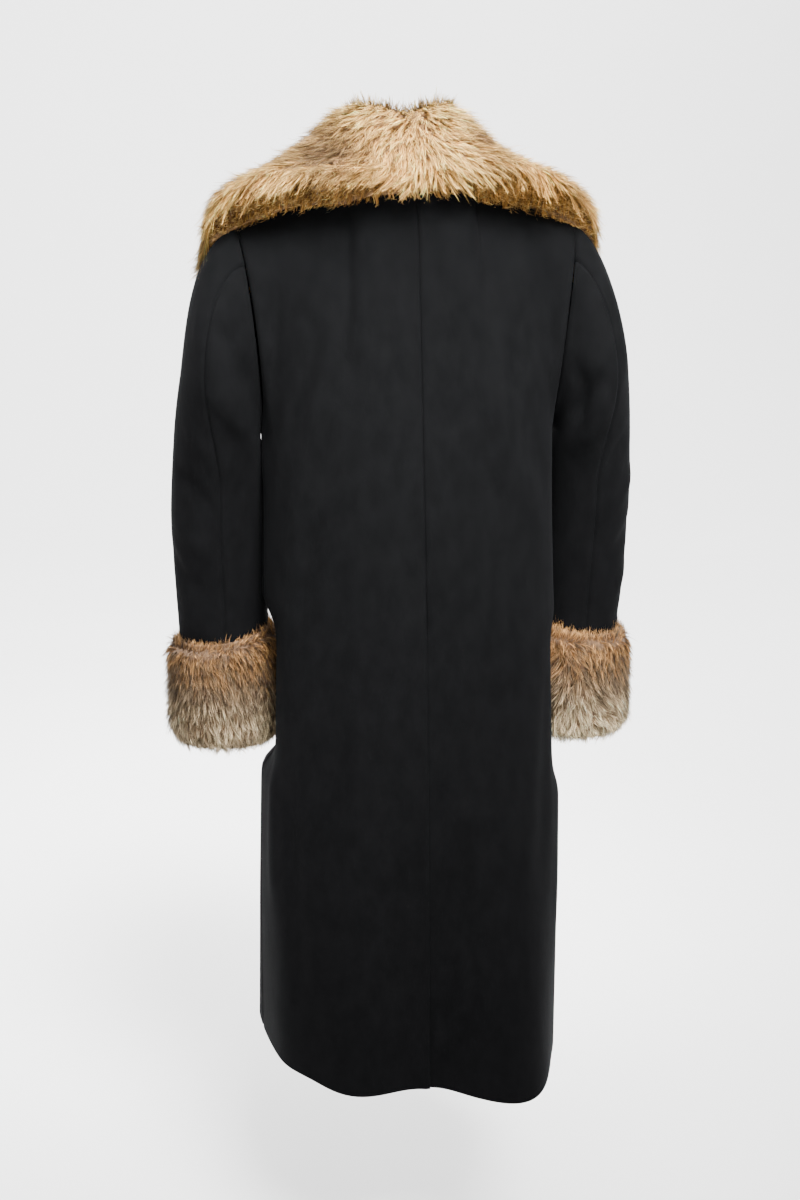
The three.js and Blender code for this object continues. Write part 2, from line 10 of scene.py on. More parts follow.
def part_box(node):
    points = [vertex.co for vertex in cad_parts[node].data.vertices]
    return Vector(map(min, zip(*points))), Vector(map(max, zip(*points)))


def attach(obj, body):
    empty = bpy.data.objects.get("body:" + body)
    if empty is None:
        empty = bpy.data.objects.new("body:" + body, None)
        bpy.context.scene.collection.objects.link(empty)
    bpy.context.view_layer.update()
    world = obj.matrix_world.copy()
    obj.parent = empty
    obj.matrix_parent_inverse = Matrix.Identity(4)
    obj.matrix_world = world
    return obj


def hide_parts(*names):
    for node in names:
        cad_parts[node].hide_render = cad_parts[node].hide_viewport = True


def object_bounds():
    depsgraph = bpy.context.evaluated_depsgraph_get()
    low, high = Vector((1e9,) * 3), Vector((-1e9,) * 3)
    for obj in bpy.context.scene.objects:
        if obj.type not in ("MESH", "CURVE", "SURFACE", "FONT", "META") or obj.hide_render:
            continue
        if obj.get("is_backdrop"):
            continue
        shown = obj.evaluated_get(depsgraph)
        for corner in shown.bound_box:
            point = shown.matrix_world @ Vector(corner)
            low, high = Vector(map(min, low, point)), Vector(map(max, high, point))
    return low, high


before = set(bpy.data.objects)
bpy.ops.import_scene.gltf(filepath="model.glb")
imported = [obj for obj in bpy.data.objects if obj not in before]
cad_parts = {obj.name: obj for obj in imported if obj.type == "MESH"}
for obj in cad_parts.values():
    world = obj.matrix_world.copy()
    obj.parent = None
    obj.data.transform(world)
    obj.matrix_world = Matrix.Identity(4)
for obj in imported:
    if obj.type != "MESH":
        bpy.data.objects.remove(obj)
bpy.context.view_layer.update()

# ---- Sizes, in millimetres
WALL = 2.0
SEWN_GAP = 0.06
SEAM_DEEP = 4.0
LAP = 3.6
HEM_Z = -1148.0
HEM_TILT = 0.1
ARM_Z = -300.0
SIDE_Y = -5.0
SQUARE = 0.85
NECK_HALF, NECK_BACK, NECK_SIDE_Y, NECK_SIDE_Z = 76.0, 76.0, 8.0, 18.0
SHOULDER_TIP = np.array([213.0, -5.0, -45.0])
SHOULDER_RISE = 16.0
ARMHOLE_BACK = 200.0
ARMHOLE_FRONT = 215.0
VENT_TOP_Z = -545.0
VENT_LAP_STEP = 5.0
VENT_LAP = 40.0
FRONT_LAP = 38.0
NECK_SHARE = 4 / 14
SLEEVE_TWIST = 36.0
AROUND = 20
ELBOW_SEAM, FRONT_SEAM = 7, 18
RIGHT_DROP = 12.0
WRIST = 5
CAP_PUFF_LEFT, CAP_PUFF_RIGHT = 168, 118
SEWN_PINCH, FREE_FROM = 0.25, 26
SEWN_WIDTH = 7.0
CUFF_X, CUFF_Y = 243.0, -68.0
CUFF_RIGHT_DROP = 11.6

# height, half width, reach of the back and of the front
SECTIONS = np.array([
    (-1148, 203, 172, 158),
    (-900, 202, 160, 146),
    (-650, 196, 150, 130),
    (-430, 187, 134, 122),
    (-300, 186, 119, 122),
], float)

# angle from the centre back towards +X, half width, top, depth at the hem, drop of the hem
FOLDS = [
    (25, 18, -620, 22, 4),
    (2, 14, -700, -16, 0),
    (-30, 20, -600, 30, 12),
    (56, 14, -480, 9, 0),
    (-70, 16, -560, -6, 0),
    (112, 20, -640, 14, 0),
    (148, 16, -700, -12, 0),
    (-122, 22, -620, 15, 0),
    (-152, 15, -720, -10, 0),
]

# angle, half width, height, half height, depth
PRESSES = [(106, 27, -642, 104, 34), (-106, 27, -654, 104, 34)]
PRESS_POWER = 8

# place down the sleeve, centre x y z, half width across, half depth, lean
SLEEVE = np.array([
    (0, 241, -12, -268, 63, 76, 40),
    (1, 243.5, -32, -338, 60.5, 70, 20),
    (2, 245.8, -50, -425, 61.2, 66, 8),
    (3, 243.6, -60, -510, 60.4, 62, 3),
    (4, 241.5, -66, -600, 59.5, 58, 0),
    (5, 243.5, -68, -714, 59.5, 57, 0),
], float)


# ---- Curves
def hermite(p0, t0, p1, t1, t):
    t2, t3 = t * t, t * t * t
    starting = (2 * t3 - 3 * t2 + 1) * p0 + (t3 - 2 * t2 + t) * t0
    return starting + (3 * t2 - 2 * t3) * p1 + (t3 - t2) * t1


def between(table, column, place):
    """A smooth curve through one column of a table, whose first column is the place."""
    rows = table if table[0, 0] < table[-1, 0] else table[::-1]
    at, value = rows[:, 0], rows[:, column]
    last = len(at) - 1
    slope = np.array([
        (value[min(k + 1, last)] - value[max(k - 1, 0)]) / (at[min(k + 1, last)] - at[max(k - 1, 0)])
        for k in range(last + 1)
    ])
    i = np.clip(np.searchsorted(at, place, side="right") - 1, 0, last - 1)
    span = at[i + 1] - at[i]
    t = np.clip((place - at[i]) / span, 0, 1)
    return hermite(value[i], slope[i] * span, value[i + 1], slope[i + 1] * span, t)


def smooth(x, low, high):
    t = np.clip((np.asarray(x, float) - low) / (high - low), 0, 1)
    return t * t * (3 - 2 * t)


def mix(a, b, t):
    return a + (b - a) * t


def unit(v):
    return v / np.maximum(np.linalg.norm(v, axis=-1, keepdims=True), 1e-9)


def dot(a, b):
    return (a * b).sum(-1, keepdims=True)


def stack(x, y, z):
    return np.stack(np.broadcast_arrays(x, y, z), -1).astype(float)


def power(value):
    return np.sign(value) * np.abs(value) ** SQUARE


# ---- The coat's surfaces
def angle_across(distance, z):
    return np.arcsin((distance / between(SECTIONS, 1, z)) ** (1 / SQUARE))


def folded(angle, z):
    depth = np.zeros_like(angle)
    drop = np.zeros_like(angle)
    for middle, spread, top, out, down in FOLDS:
        away = np.abs(angle - middle)
        away = np.minimum(away, 360 - away) / spread
        grown = np.clip((top - z) / (top - HEM_Z), 0, 1) ** 1.4
        depth = depth + out * np.exp(-away * away) * grown
        drop = drop + down * np.exp(-away * away) * grown
    for middle, spread, height, tall, out in PRESSES:
        away = -(((angle - middle) / spread) ** 2) - ((z - height) / tall) ** PRESS_POWER
        depth = depth - out * np.exp(away)
    return depth, drop


def lap_offset(side, face, x, z):
    beyond = -x * side
    if face == "front":
        return LAP * smooth(beyond, -75, -45) if side < 0 else 0 * beyond
    if side > 0:
        return 0 * beyond
    return -VENT_LAP_STEP * smooth(beyond, -60, -14) * smooth(-z, -VENT_TOP_Z - 70, -VENT_TOP_Z - 12)


def skirt(side, face, angle, z):
    width = between(SECTIONS, 1, z)
    depth = between(SECTIONS, 2 if face == "back" else 3, z)
    turn = 1 if face == "back" else -1
    x = side * width * power(np.sin(angle))
    y = SIDE_Y + turn * (depth - turn * SIDE_Y) * power(np.cos(angle))
    around = side * np.degrees(angle if face == "back" else math.pi - angle)
    out = unit(stack(side * depth * np.sin(angle), turn * width * np.cos(angle), 0))
    deep, drop = folded(around, z)
    shift = deep + lap_offset(side, face, x, z)
    fall = (ARM_Z - z) / (ARM_Z - HEM_Z)
    return stack(x, y, z + HEM_TILT * x * fall - drop) + out * shift[..., None]


def edge_angle(side, face, z):
    if face == "front":
        return -angle_across(FRONT_LAP, z)
    if side > 0:
        return np.zeros_like(z)
    return -angle_across(VENT_LAP, z) * smooth(-z, -VENT_TOP_Z - 8, -VENT_TOP_Z + 34)


def shoulder_seam(side, share):
    start = np.array([NECK_HALF, NECK_SIDE_Y, NECK_SIDE_Z])
    point = start + (SHOULDER_TIP - start) * share[..., None]
    point[..., 2] -= 5 * np.sin(math.pi * share)
    point[..., 0] *= side
    return point


def top_edge(side, face, u):
    if face == "front":
        return shoulder_seam(side, u)
    turn = np.clip(u / NECK_SHARE, 0, 1) * math.pi / 2
    neck = stack(
        side * NECK_HALF * np.sin(turn),
        NECK_SIDE_Y + (NECK_BACK - NECK_SIDE_Y) * np.cos(turn),
        NECK_SIDE_Z * (1 - np.cos(turn)),
    )
    seam = shoulder_seam(side, np.clip((u - NECK_SHARE) / (1 - NECK_SHARE), 0, 1))
    return np.where((u > NECK_SHARE)[..., None], seam, neck)


def panel(side, face, u, v):
    """A point of a body panel: u from the centre to the side, v from the hem (0) over the underarm (1) to
    the shoulder (2)."""
    u, v = np.broadcast_arrays(np.asarray(u, float), np.asarray(v, float))

    def angle_at(z):
        return mix(edge_angle(side, face, z), math.pi / 2, u)

    z = mix(HEM_Z, ARM_Z, np.clip(v, 0, 1))
    low = skirt(side, face, angle_at(z), z)
    arm = np.full_like(u, ARM_Z)
    turn = 1 if face == "back" else -1
    start = skirt(side, face, angle_at(arm), arm)
    below = skirt(side, face, angle_at(arm - 10), arm - 10)
    rising = unit(start - below) * 280
    bow = ARMHOLE_BACK if face == "back" else ARMHOLE_FRONT
    rising = mix(rising, stack(0, turn * bow, 230), smooth(u, 0.72, 1)[..., None])
    arriving = stack(side * 6, -turn * (150 + 60 * u), SHOULDER_RISE)
    if face == "back":
        arriving = mix(stack(0, -60, 240), arriving, smooth(u, 0, NECK_SHARE * 0.95)[..., None])
    else:
        rising = mix(rising, stack(side * 110, 0, 220), (1 - smooth(u, 0, 0.3))[..., None])
        arriving = mix(stack(0, 175, 30), arriving, smooth(u, 0, 0.12)[..., None])
    t = np.clip(v - 1, 0, 1)[..., None]
    high = hermite(start, rising, top_edge(side, face, u), arriving, t)
    return np.where((v <= 1)[..., None], low, high)


def armhole(side, step):
    step = np.mod(step, AROUND)
    half = AROUND / 2
    one = np.ones_like(step)
    back = panel(side, "back", one, 1 + np.clip(step / half, 0, 1))
    front = panel(side, "front", one, 1 + np.clip((AROUND - step) / half, 0, 1))
    return np.where((step <= half)[..., None], back, front)


def sleeve_section(side, step, ring, outset=0.0):
    ring = np.asarray(ring, float)
    twist = SLEEVE_TWIST * smooth(ring, -1, 1.5)
    angle = np.radians(180 - step * 360 / AROUND + twist)
    x, y, z, wide, deep, lean = (between(SLEEVE, k, ring) for k in range(1, 7))
    lean = np.radians(lean)
    across = np.cos(angle) * (wide + outset)
    drop = RIGHT_DROP * ring / WRIST if side < 0 else 0 * ring
    return stack(
        side * (x + across * np.cos(lean)),
        y + np.sin(angle) * (deep + outset),
        z + across * np.sin(lean) - drop,
    )


def sleeve(side, step, v):
    """A point of a sleeve: v from the armhole (-1) over the first section (0) to the wrist."""
    step, v = np.broadcast_arrays(np.asarray(step, float), np.asarray(v, float))
    start = armhole(side, step)
    zero = np.zeros_like(v)
    end = sleeve_section(side, step, zero)
    loop = step * 2 * math.pi / AROUND
    height = (1 - np.cos(loop)) / 2
    puff = CAP_PUFF_LEFT if side > 0 else CAP_PUFF_RIGHT
    leaving = stack(side * (12 + puff * height), 34 * np.sin(loop), -14 - 26 * height)
    reach = np.linalg.norm(end - start, axis=-1, keepdims=True)
    arriving = unit(sleeve_section(side, step, zero + 0.1) - end) * reach * 0.8
    cap = hermite(start, leaving, end, arriving, np.clip(v + 1, 0, 1)[..., None])
    return np.where((v >= 0)[..., None], sleeve_section(side, step, np.maximum(v, 0)), cap)


# ---- Creases
# Soft ridges (out above 0) and troughs of the worn cloth: how far out, half width, and the points they
# run through.
BODY_CREASES = [
    (4.5, 17, [(112, 84, -150), (118, 85, -201), (132, 90, -286), (152, 82, -361),
     (166, 76, -434), (170, 82, -553)]),
    (-5.0, 15, [(108, 80, -130), (124, 78, -178), (141, 77, -222), (158, 70, -275),
     (180, 50, -330)]),
    (-3.5, 16, [(100, 90, -240), (116, 98, -320), (134, 102, -400), (146, 104, -500),
     (150, 106, -600)]),
    (4.5, 17, [(-90, 88, -130), (-97, 90, -187), (-96, 103, -266), (-121, 101, -342),
     (-150, 84, -400), (-172, 70, -460)]),
    (-5.5, 15, [(-105, 76, -125), (-117, 80, -170), (-129, 87, -246), (-151, 81, -333),
     (-176, 60, -390)]),
    (-3.0, 18, [(-70, 108, -230), (-84, 116, -330), (-104, 116, -430), (-128, 108, -520)]),
    (-2.5, 13, [(-30, 100, -60), (-34, 104, -140), (-30, 112, -230)]),
    (-2.5, 14, [(34, 100, -66), (42, 104, -150), (38, 114, -250)]),
    (2.2, 22, [(60, 118, -330), (72, 124, -450), (70, 134, -580), (74, 140, -700)]),
    (-2.5, 20, [(-50, 128, -420), (-58, 136, -540), (-60, 142, -660), (-52, 150, -790)]),
    (3.0, 16, [(163, 78, -470), (168, 86, -560), (168, 90, -650)]),
    (3.5, 15, [(186, 62, -690), (191, 60, -770), (193, 60, -850), (190, 66, -960)]),
    (-4.0, 14, [(172, 92, -700), (172, 100, -800), (168, 112, -930), (162, 124, -1080)]),
    (-4.0, 18, [(-176, 84, -560), (-172, 96, -680), (-164, 110, -800), (-156, 128, -960)]),
    (3.0, 18, [(-196, 44, -640), (-198, 48, -760), (-196, 60, -900), (-190, 76, -1060)]),
    (-3.0, 20, [(110, 128, -560), (118, 132, -700), (112, 144, -860), (96, 160, -1030)]),
    (5.0, 22, [(187, -5, -310), (188, -5, -370), (188, -5, -430), (190, -5, -490),
     (191, -5, -550)]),
    (8.5, 17, [(183, 9, -215), (185, 4, -268), (187, 0, -322), (187, -5, -390)]),
    (6.0, 20, [(190, -25, -480), (191, -45, -535), (191, -60, -590), (192, -60, -640)]),
    (3.5, 22, [(-187, -5, -310), (-188, -5, -370), (-188, -5, -430), (-190, -5, -490),
     (-191, -5, -550)]),
    (2.5, 16, [(128, -98, -190), (138, -100, -290), (150, -88, -390), (160, -78, -500)]),
    (-4.0, 15, [(150, -60, -200), (146, -80, -280), (130, -98, -360), (110, -108, -450)]),
    (2.5, 17, [(-126, -98, -180), (-134, -102, -280), (-148, -90, -380), (-162, -76, -480)]),
    (-4.5, 15, [(-152, -60, -190), (-146, -82, -270), (-132, -98, -350), (-112, -108, -430)]),
    (-3.0, 20, [(90, -118, -540), (98, -124, -680), (104, -132, -820), (98, -146, -1000)]),
    (3.0, 20, [(-88, -124, -560), (-96, -130, -700), (-100, -138, -850), (-92, -150, -1040)]),
    (-3.0, 18, [(150, -92, -640), (152, -102, -780), (146, -116, -960)]),
    (-3.0, 18, [(-152, -90, -600), (-156, -98, -760), (-150, -114, -930)]),
    (-2.5, 16, [(20, -118, -360), (60, -118, -380), (100, -110, -372)]),
    (2.0, 18, [(-24, -122, -470), (-66, -122, -486), (-108, -112, -480)]),
]
LEFT_CREASES = [
    (3.0, 20, [(190, -20, -310), (185, -26, -370), (183, -34, -430), (182, -40, -490),
     (182, -46, -550)]),
    (4.0, 17, [(200, 18, -235), (197, 8, -285), (192, -14, -330), (187, -26, -390)]),
    (-7.0, 13, [(249, 56, -140), (240, 60, -165), (223, 62, -200), (208, 50, -232),
     (190, 30, -258)]),
    (4.5, 14, [(262, 44, -110), (259, 39, -147), (256, 58, -205), (248, 58, -262),
     (240, 52, -310)]),
    (-5.0, 12, [(262, 40, -220), (250, 54, -262), (228, 50, -300), (206, 30, -330)]),
    (4.0, 14, [(286, 10, -260), (272, 34, -300), (246, 42, -340), (220, 30, -372)]),
    (-4.5, 12, [(300, -20, -330), (284, 12, -362), (256, 24, -392), (224, 14, -418)]),
    (3.0, 14, [(302, -40, -390), (290, -4, -425), (262, 12, -452), (230, 4, -474)]),
    (-4.0, 13, [(304, -60, -440), (296, -26, -480), (270, -2, -510), (236, -8, -536)]),
    (-2.5, 15, [(296, -50, -560), (276, -18, -584), (244, -14, -590)]),
    (-4.0, 13, [(290, -60, -190), (276, -88, -260), (248, -104, -320), (214, -100, -370)]),
    (3.5, 14, [(300, -66, -260), (284, -98, -330), (250, -114, -390), (214, -108, -440)]),
    (-3.5, 13, [(302, -86, -400), (278, -118, -450), (244, -124, -490)]),
]
RIGHT_CREASES = [
    (-7.5, 12, [(-258, 52, -232), (-236, 66, -238), (-214, 58, -262), (-194, 34, -300)]),
    (-6.0, 12, [(-205, 50, -200), (-212, 58, -240), (-208, 52, -290), (-200, 30, -340)]),
    (5.0, 13, [(-268, 40, -250), (-250, 58, -272), (-228, 54, -304), (-206, 34, -342)]),
    (-4.5, 13, [(-292, 6, -300), (-272, 34, -330), (-244, 36, -362), (-214, 22, -396)]),
    (3.5, 14, [(-302, -30, -352), (-288, 4, -388), (-258, 18, -420), (-226, 8, -450)]),
    (-4.0, 13, [(-304, -48, -420), (-290, -14, -456), (-260, 2, -486), (-228, -6, -510)]),
    (3.0, 14, [(-302, -60, -480), (-288, -24, -520), (-256, -12, -548), (-226, -20, -566)]),
    (-3.0, 14, [(-298, -80, -540), (-282, -34, -580), (-250, -22, -598)]),
    (4.0, 16, [(-252, 30, -110), (-256, 44, -150), (-262, 46, -200), (-268, 36, -250)]),
    (-4.0, 13, [(-288, -62, -200), (-274, -90, -268), (-246, -104, -330), (-212, -98, -380)]),
    (3.5, 14, [(-300, -70, -290), (-280, -100, -360), (-248, -114, -420), (-214, -108, -470)]),
    (-3.5, 13, [(-300, -90, -440), (-276, -120, -490), (-240, -126, -530)]),
]


def creased(points, creases):
    """How far out the creases move the cloth at each point."""
    flat = points.reshape(-1, 3)
    moved = np.zeros(len(flat))
    for out, wide, line in creases:
        line = np.array(line, float)
        lengths = np.r_[0, np.cumsum(np.linalg.norm(np.diff(line, axis=0), axis=1))]
        best = np.full(len(flat), 1e9)
        share = np.zeros(len(flat))
        for a, b, start, end in zip(line[:-1], line[1:], lengths[:-1], lengths[1:]):
            t = np.clip(((flat - a) @ (b - a)) / ((b - a) @ (b - a)), 0, 1)
            away = np.linalg.norm(flat - (a + t[:, None] * (b - a)), axis=1)
            near = away < best
            best = np.where(near, away, best)
            share = np.where(near, (start + t * (end - start)) / lengths[-1], share)
        taper = smooth(share, 0, 0.3) * (1 - smooth(share, 0.62, 1))
        moved += out * taper * np.exp(-((best / (wide * (0.8 + 0.5 * share))) ** 2))
    return moved.reshape(points.shape[:-1])


WAVES = np.random.default_rng(11).normal(size=(14, 3)) * (1 / 46, 1 / 46, 1 / 95)
WAVE_STARTS = np.random.default_rng(12).uniform(0, 2 * math.pi, 14)


def rippled(points):
    """The small uneven swell of soft wool."""
    phase = points @ WAVES.T + WAVE_STARTS
    return np.sin(phase).sum(-1) / 14 * 2.2


# ---- Meshes
def mesh_object(name, points, faces, body="root"):
    """A smooth mesh from points in millimetres."""
    mesh = bpy.data.meshes.new(name)
    faces = np.asarray(faces, np.int32)
    mesh.vertices.add(len(points))
    mesh.vertices.foreach_set("co", (np.asarray(points) / 1000).astype(np.float32).ravel())
    mesh.loops.add(faces.size)
    mesh.loops.foreach_set("vertex_index", faces.ravel())
    mesh.polygons.add(len(faces))
    mesh.polygons.foreach_set("loop_start", np.arange(0, faces.size, faces.shape[1], dtype=np.int32))
    mesh.polygons.foreach_set("use_smooth", np.ones(len(faces), bool))
    mesh.update(calc_edges=True)
    piece = bpy.data.objects.new(name, mesh)
    bpy.context.scene.collection.objects.link(piece)
    if body:
        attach(piece, body)
    return piece


def grid_quads(rows, columns):
    a = (np.arange(rows - 1)[:, None] * columns + np.arange(columns - 1)).ravel()
    return np.stack([a, a + 1, a + columns + 1, a + columns], 1)


def grid_normals(grid):
    down, across = np.gradient(grid, axis=(0, 1))
    return unit(np.cross(across, down))


def wall(name, surface, us, vs, heart, creases, seams):
    """A thin shell of cloth on a surface. seams says which of its edges (u low, u high, v low, v high) are
    sewn to a neighbour, and so turn in a little."""
    u, v = np.meshgrid(us, vs)
    grid = surface(u, v)
    normal = grid_normals(grid)
    if ((grid - heart) * normal).sum(-1).mean() < 0:
        normal = -normal
    rows, columns = grid.shape[:2]
    along = np.zeros((4, rows, columns))
    step_u = np.linalg.norm(np.diff(grid, axis=1), axis=-1)
    step_v = np.linalg.norm(np.diff(grid, axis=0), axis=-1)
    along[0, :, 1:] = np.cumsum(step_u, 1)
    along[1, :, :-1] = np.cumsum(step_u[:, ::-1], 1)[:, ::-1]
    along[2, 1:] = np.cumsum(step_v, 0)
    along[3, :-1] = np.cumsum(step_v[::-1], 0)[::-1]
    if name.startswith("back"):
        normal[:, 0] = unit(normal[:, 0] * (0, 1, 1))
    free = np.ones((rows, columns))
    tuck = np.zeros((rows, columns))
    deep = np.full((rows, columns), WALL)
    for edge in range(4):
        if seams[edge]:
            free *= smooth(along[edge], 0, FREE_FROM)
            tuck += 1.5 * np.exp(-((along[edge] / (SEWN_WIDTH * 0.42)) ** 2))
            tuck -= 0.5 * np.exp(-(((along[edge] - SEWN_WIDTH) / 5) ** 2))
            deep += SEAM_DEEP * np.exp(-((along[edge] / 2.5) ** 2))
    shift = (creased(grid, creases) + rippled(grid)) * mix(SEWN_PINCH, 1, free) - tuck
    outer = grid + normal * shift[..., None]
    pull = SEWN_GAP / 2
    for edge, (row, inward) in enumerate([
        ((slice(None), 0), (slice(None), 1)),
        ((slice(None), -1), (slice(None), -2)),
        ((0, slice(None)), (1, slice(None))),
        ((-1, slice(None)), (-2, slice(None))),
    ]):
        outer[row] += unit(outer[inward] - outer[row]) * pull
    turned = grid_normals(outer)
    turned *= np.sign(dot(turned, normal))
    turned = unit(mix(normal, turned, smooth(along.min(0), 1, 9)[..., None]))
    inner = outer - turned * deep[..., None]
    count = rows * columns
    quads = grid_quads(rows, columns)
    flip = (grid_normals(grid) * normal).sum(-1).mean() > 0
    out_faces = quads if flip else quads[:, ::-1]
    in_faces = (quads[:, ::-1] if flip else quads) + count
    border = np.r_[
        np.arange(columns - 1),
        np.arange(rows - 1) * columns + columns - 1,
        rows * columns - 1 - np.arange(columns - 1),
        (rows - 1 - np.arange(rows - 1)) * columns,
    ]
    nxt = np.roll(border, -1)
    rim = np.stack([border, border + count, nxt + count, nxt], 1)
    if not flip:
        rim = rim[:, ::-1]
    points = np.concatenate([outer.reshape(-1, 3), inner.reshape(-1, 3)])
    piece = mesh_object("wool_" + name, points, np.concatenate([out_faces, in_faces, rim]))
    facing_in = np.zeros(len(out_faces) + len(in_faces) + len(rim), np.int32)
    facing_in[len(out_faces):len(out_faces) + len(in_faces)] = 1
    piece.data.polygons.foreach_set("material_index", facing_in)
    piece.data.materials.append(wool)
    piece.data.materials.append(inside)
    area = 0.5 * sum(
        np.linalg.norm(np.cross(b - a, c - a), axis=-1).sum()
        for a, b, c in [
            (outer[:-1, :-1], outer[:-1, 1:], outer[1:, 1:]),
            (outer[:-1, :-1], outer[1:, 1:], outer[1:, :-1]),
        ]
    ) / 1e6
    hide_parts(name)
    return piece, area


def close_to_ends(count):
    """Steps from 0 to 1 that lie closer together at the ends that are sewn or folded."""
    steps = np.linspace(0.03, 0.97, count)
    fine = np.array([0.0, 0.004, 0.009, 0.015, 0.022])
    return np.r_[fine, steps, 1 - fine[::-1]]


# ---- Materials
def material(name):
    made = bpy.data.materials.new(name)
    made.use_nodes = True
    tree = made.node_tree
    return made, tree, tree.nodes["Principled BSDF"], tree.nodes["Material Output"]


def set_inputs(node, values):
    for name, value in values.items():
        node.inputs[name].default_value = value


def noise(tree, scale, detail=4.0, stretch=(1, 1, 1)):
    """Noise on the piece's own coordinates, in metres."""
    place = tree.nodes.new("ShaderNodeTexCoord")
    mapping = tree.nodes.new("ShaderNodeMapping")
    set_inputs(mapping, {"Scale": stretch})
    tree.links.new(place.outputs["Object"], mapping.inputs["Vector"])
    made = tree.nodes.new("ShaderNodeTexNoise")
    set_inputs(made, {"Scale": scale, "Detail": detail, "Roughness": 0.55})
    tree.links.new(mapping.outputs["Vector"], made.inputs["Vector"])
    return made.outputs["Fac"]


def ramp(tree, value, *stops):
    """A colour for a value, between two stops of (place, colour)."""
    made = tree.nodes.new("ShaderNodeValToRGB")
    for stop, (place, colour) in zip(made.color_ramp.elements, stops):
        stop.position, stop.color = place, (*colour, 1)
    tree.links.new(value, made.inputs["Fac"])
    return made.outputs["Color"]


def multiplied(tree, first, second):
    made = tree.nodes.new("ShaderNodeMix")
    made.data_type, made.blend_type = "RGBA", "MULTIPLY"
    made.inputs[0].default_value = 1.0
    tree.links.new(first, made.inputs[6])
    tree.links.new(second, made.inputs[7])
    return made.outputs[2]


def bump(tree, height, distance, strength, onto=None):
    made = tree.nodes.new("ShaderNodeBump")
    set_inputs(made, {"Distance": distance, "Strength": strength})
    tree.links.new(height, made.inputs["Height"])
    if onto is not None:
        tree.links.new(onto, made.inputs["Normal"])
    return made.outputs["Normal"]


def wool_material():
    made, tree, shader, _ = material("wool")
    nap = noise(tree, 55, 5, (1, 1, 0.55))
    cloud = noise(tree, 9, 3)
    colour = ramp(tree, nap, (0.3, (0.0025, 0.0026, 0.0028)), (0.72, (0.0037, 0.0038, 0.0041)))
    wide = ramp(tree, cloud, (0.3, (0.92, 0.92, 0.92)), (0.7, (1.08, 1.08, 1.08)))
    tree.links.new(multiplied(tree, colour, wide), shader.inputs["Base Color"])
    set_inputs(shader, {
        "Roughness": 0.93, "Specular IOR Level": 0.03, "Sheen Weight": 0.0075, "Sheen Roughness": 0.5,
        "Sheen Tint": (0.62, 0.64, 0.70, 1),
    })
    coarse = bump(tree, nap, 0.0012, 0.5)
    fine = bump(tree, noise(tree, 900, 3), 0.0004, 0.45, coarse)
    tree.links.new(fine, shader.inputs["Normal"])
    return made


def plain_material(name, grain, dark, light, rough, raised=None):
    """A material of one mottled colour. grain is the noise's scale, detail and stretch."""
    made, tree, shader, _ = material(name)
    tree.links.new(ramp(tree, noise(tree, *grain), (0.3, dark), (0.7, light)), shader.inputs["Base Color"])
    set_inputs(shader, {"Roughness": rough})
    if raised:
        tree.links.new(bump(tree, noise(tree, *raised), 0.0003, 0.3), shader.inputs["Normal"])
    return made


def hair_material(name):
    """Hair coloured strand by strand, lit mostly as the rounded pile that it lies in."""
    made, tree, shader, output = material(name)
    colour = tree.nodes.new("ShaderNodeAttribute")
    colour.attribute_name = "hair_colour"
    normal = tree.nodes.new("ShaderNodeAttribute")
    normal.attribute_name = "hair_normal"
    fleck = ramp(tree, noise(tree, 420, 2), (0.25, (0.82, 0.82, 0.82)), (0.75, (1.14, 1.14, 1.14)))
    flecked = multiplied(tree, colour.outputs["Color"], fleck)
    tree.links.new(flecked, shader.inputs["Base Color"])
    tree.links.new(normal.outputs["Vector"], shader.inputs["Normal"])
    set_inputs(shader, {"Roughness": 0.66, "Specular IOR Level": 0.12})
    through = tree.nodes.new("ShaderNodeBsdfTranslucent")
    tree.links.new(flecked, through.inputs["Color"])
    tree.links.new(normal.outputs["Vector"], through.inputs["Normal"])
    blend = tree.nodes.new("ShaderNodeMixShader")
    set_inputs(blend, {"Fac": 0.16})
    tree.links.new(shader.outputs["BSDF"], blend.inputs[1])
    tree.links.new(through.outputs["BSDF"], blend.inputs[2])
    tree.links.new(blend.outputs["Shader"], output.inputs["Surface"])
    return made


def pile_material(name, dark, light):
    """The dense short hair under the long hair."""
    made, tree, shader, _ = material(name)
    fine = noise(tree, 320, 5, (1, 1, 0.5))
    tree.links.new(ramp(tree, fine, (0.3, dark), (0.72, light)), shader.inputs["Base Color"])
    set_inputs(shader, {"Roughness": 0.95, "Sheen Weight": 0.04})
    tree.links.new(bump(tree, fine, 0.004, 0.9), shader.inputs["Normal"])
    return made


# ---- Wool
wool = wool_material()
inside = plain_material("wool_inside", (60,), (0.010, 0.010, 0.011), (0.018, 0.018, 0.020), 0.9, (700, 2))
thread = plain_material("thread", (1500, 2), (0.010, 0.010, 0.011), (0.030, 0.030, 0.032), 0.7)
horn = plain_material("horn", (120, 3, (1, 1, 0.3)), (0.008, 0.0075, 0.007), (0.022, 0.019, 0.017), 0.32)

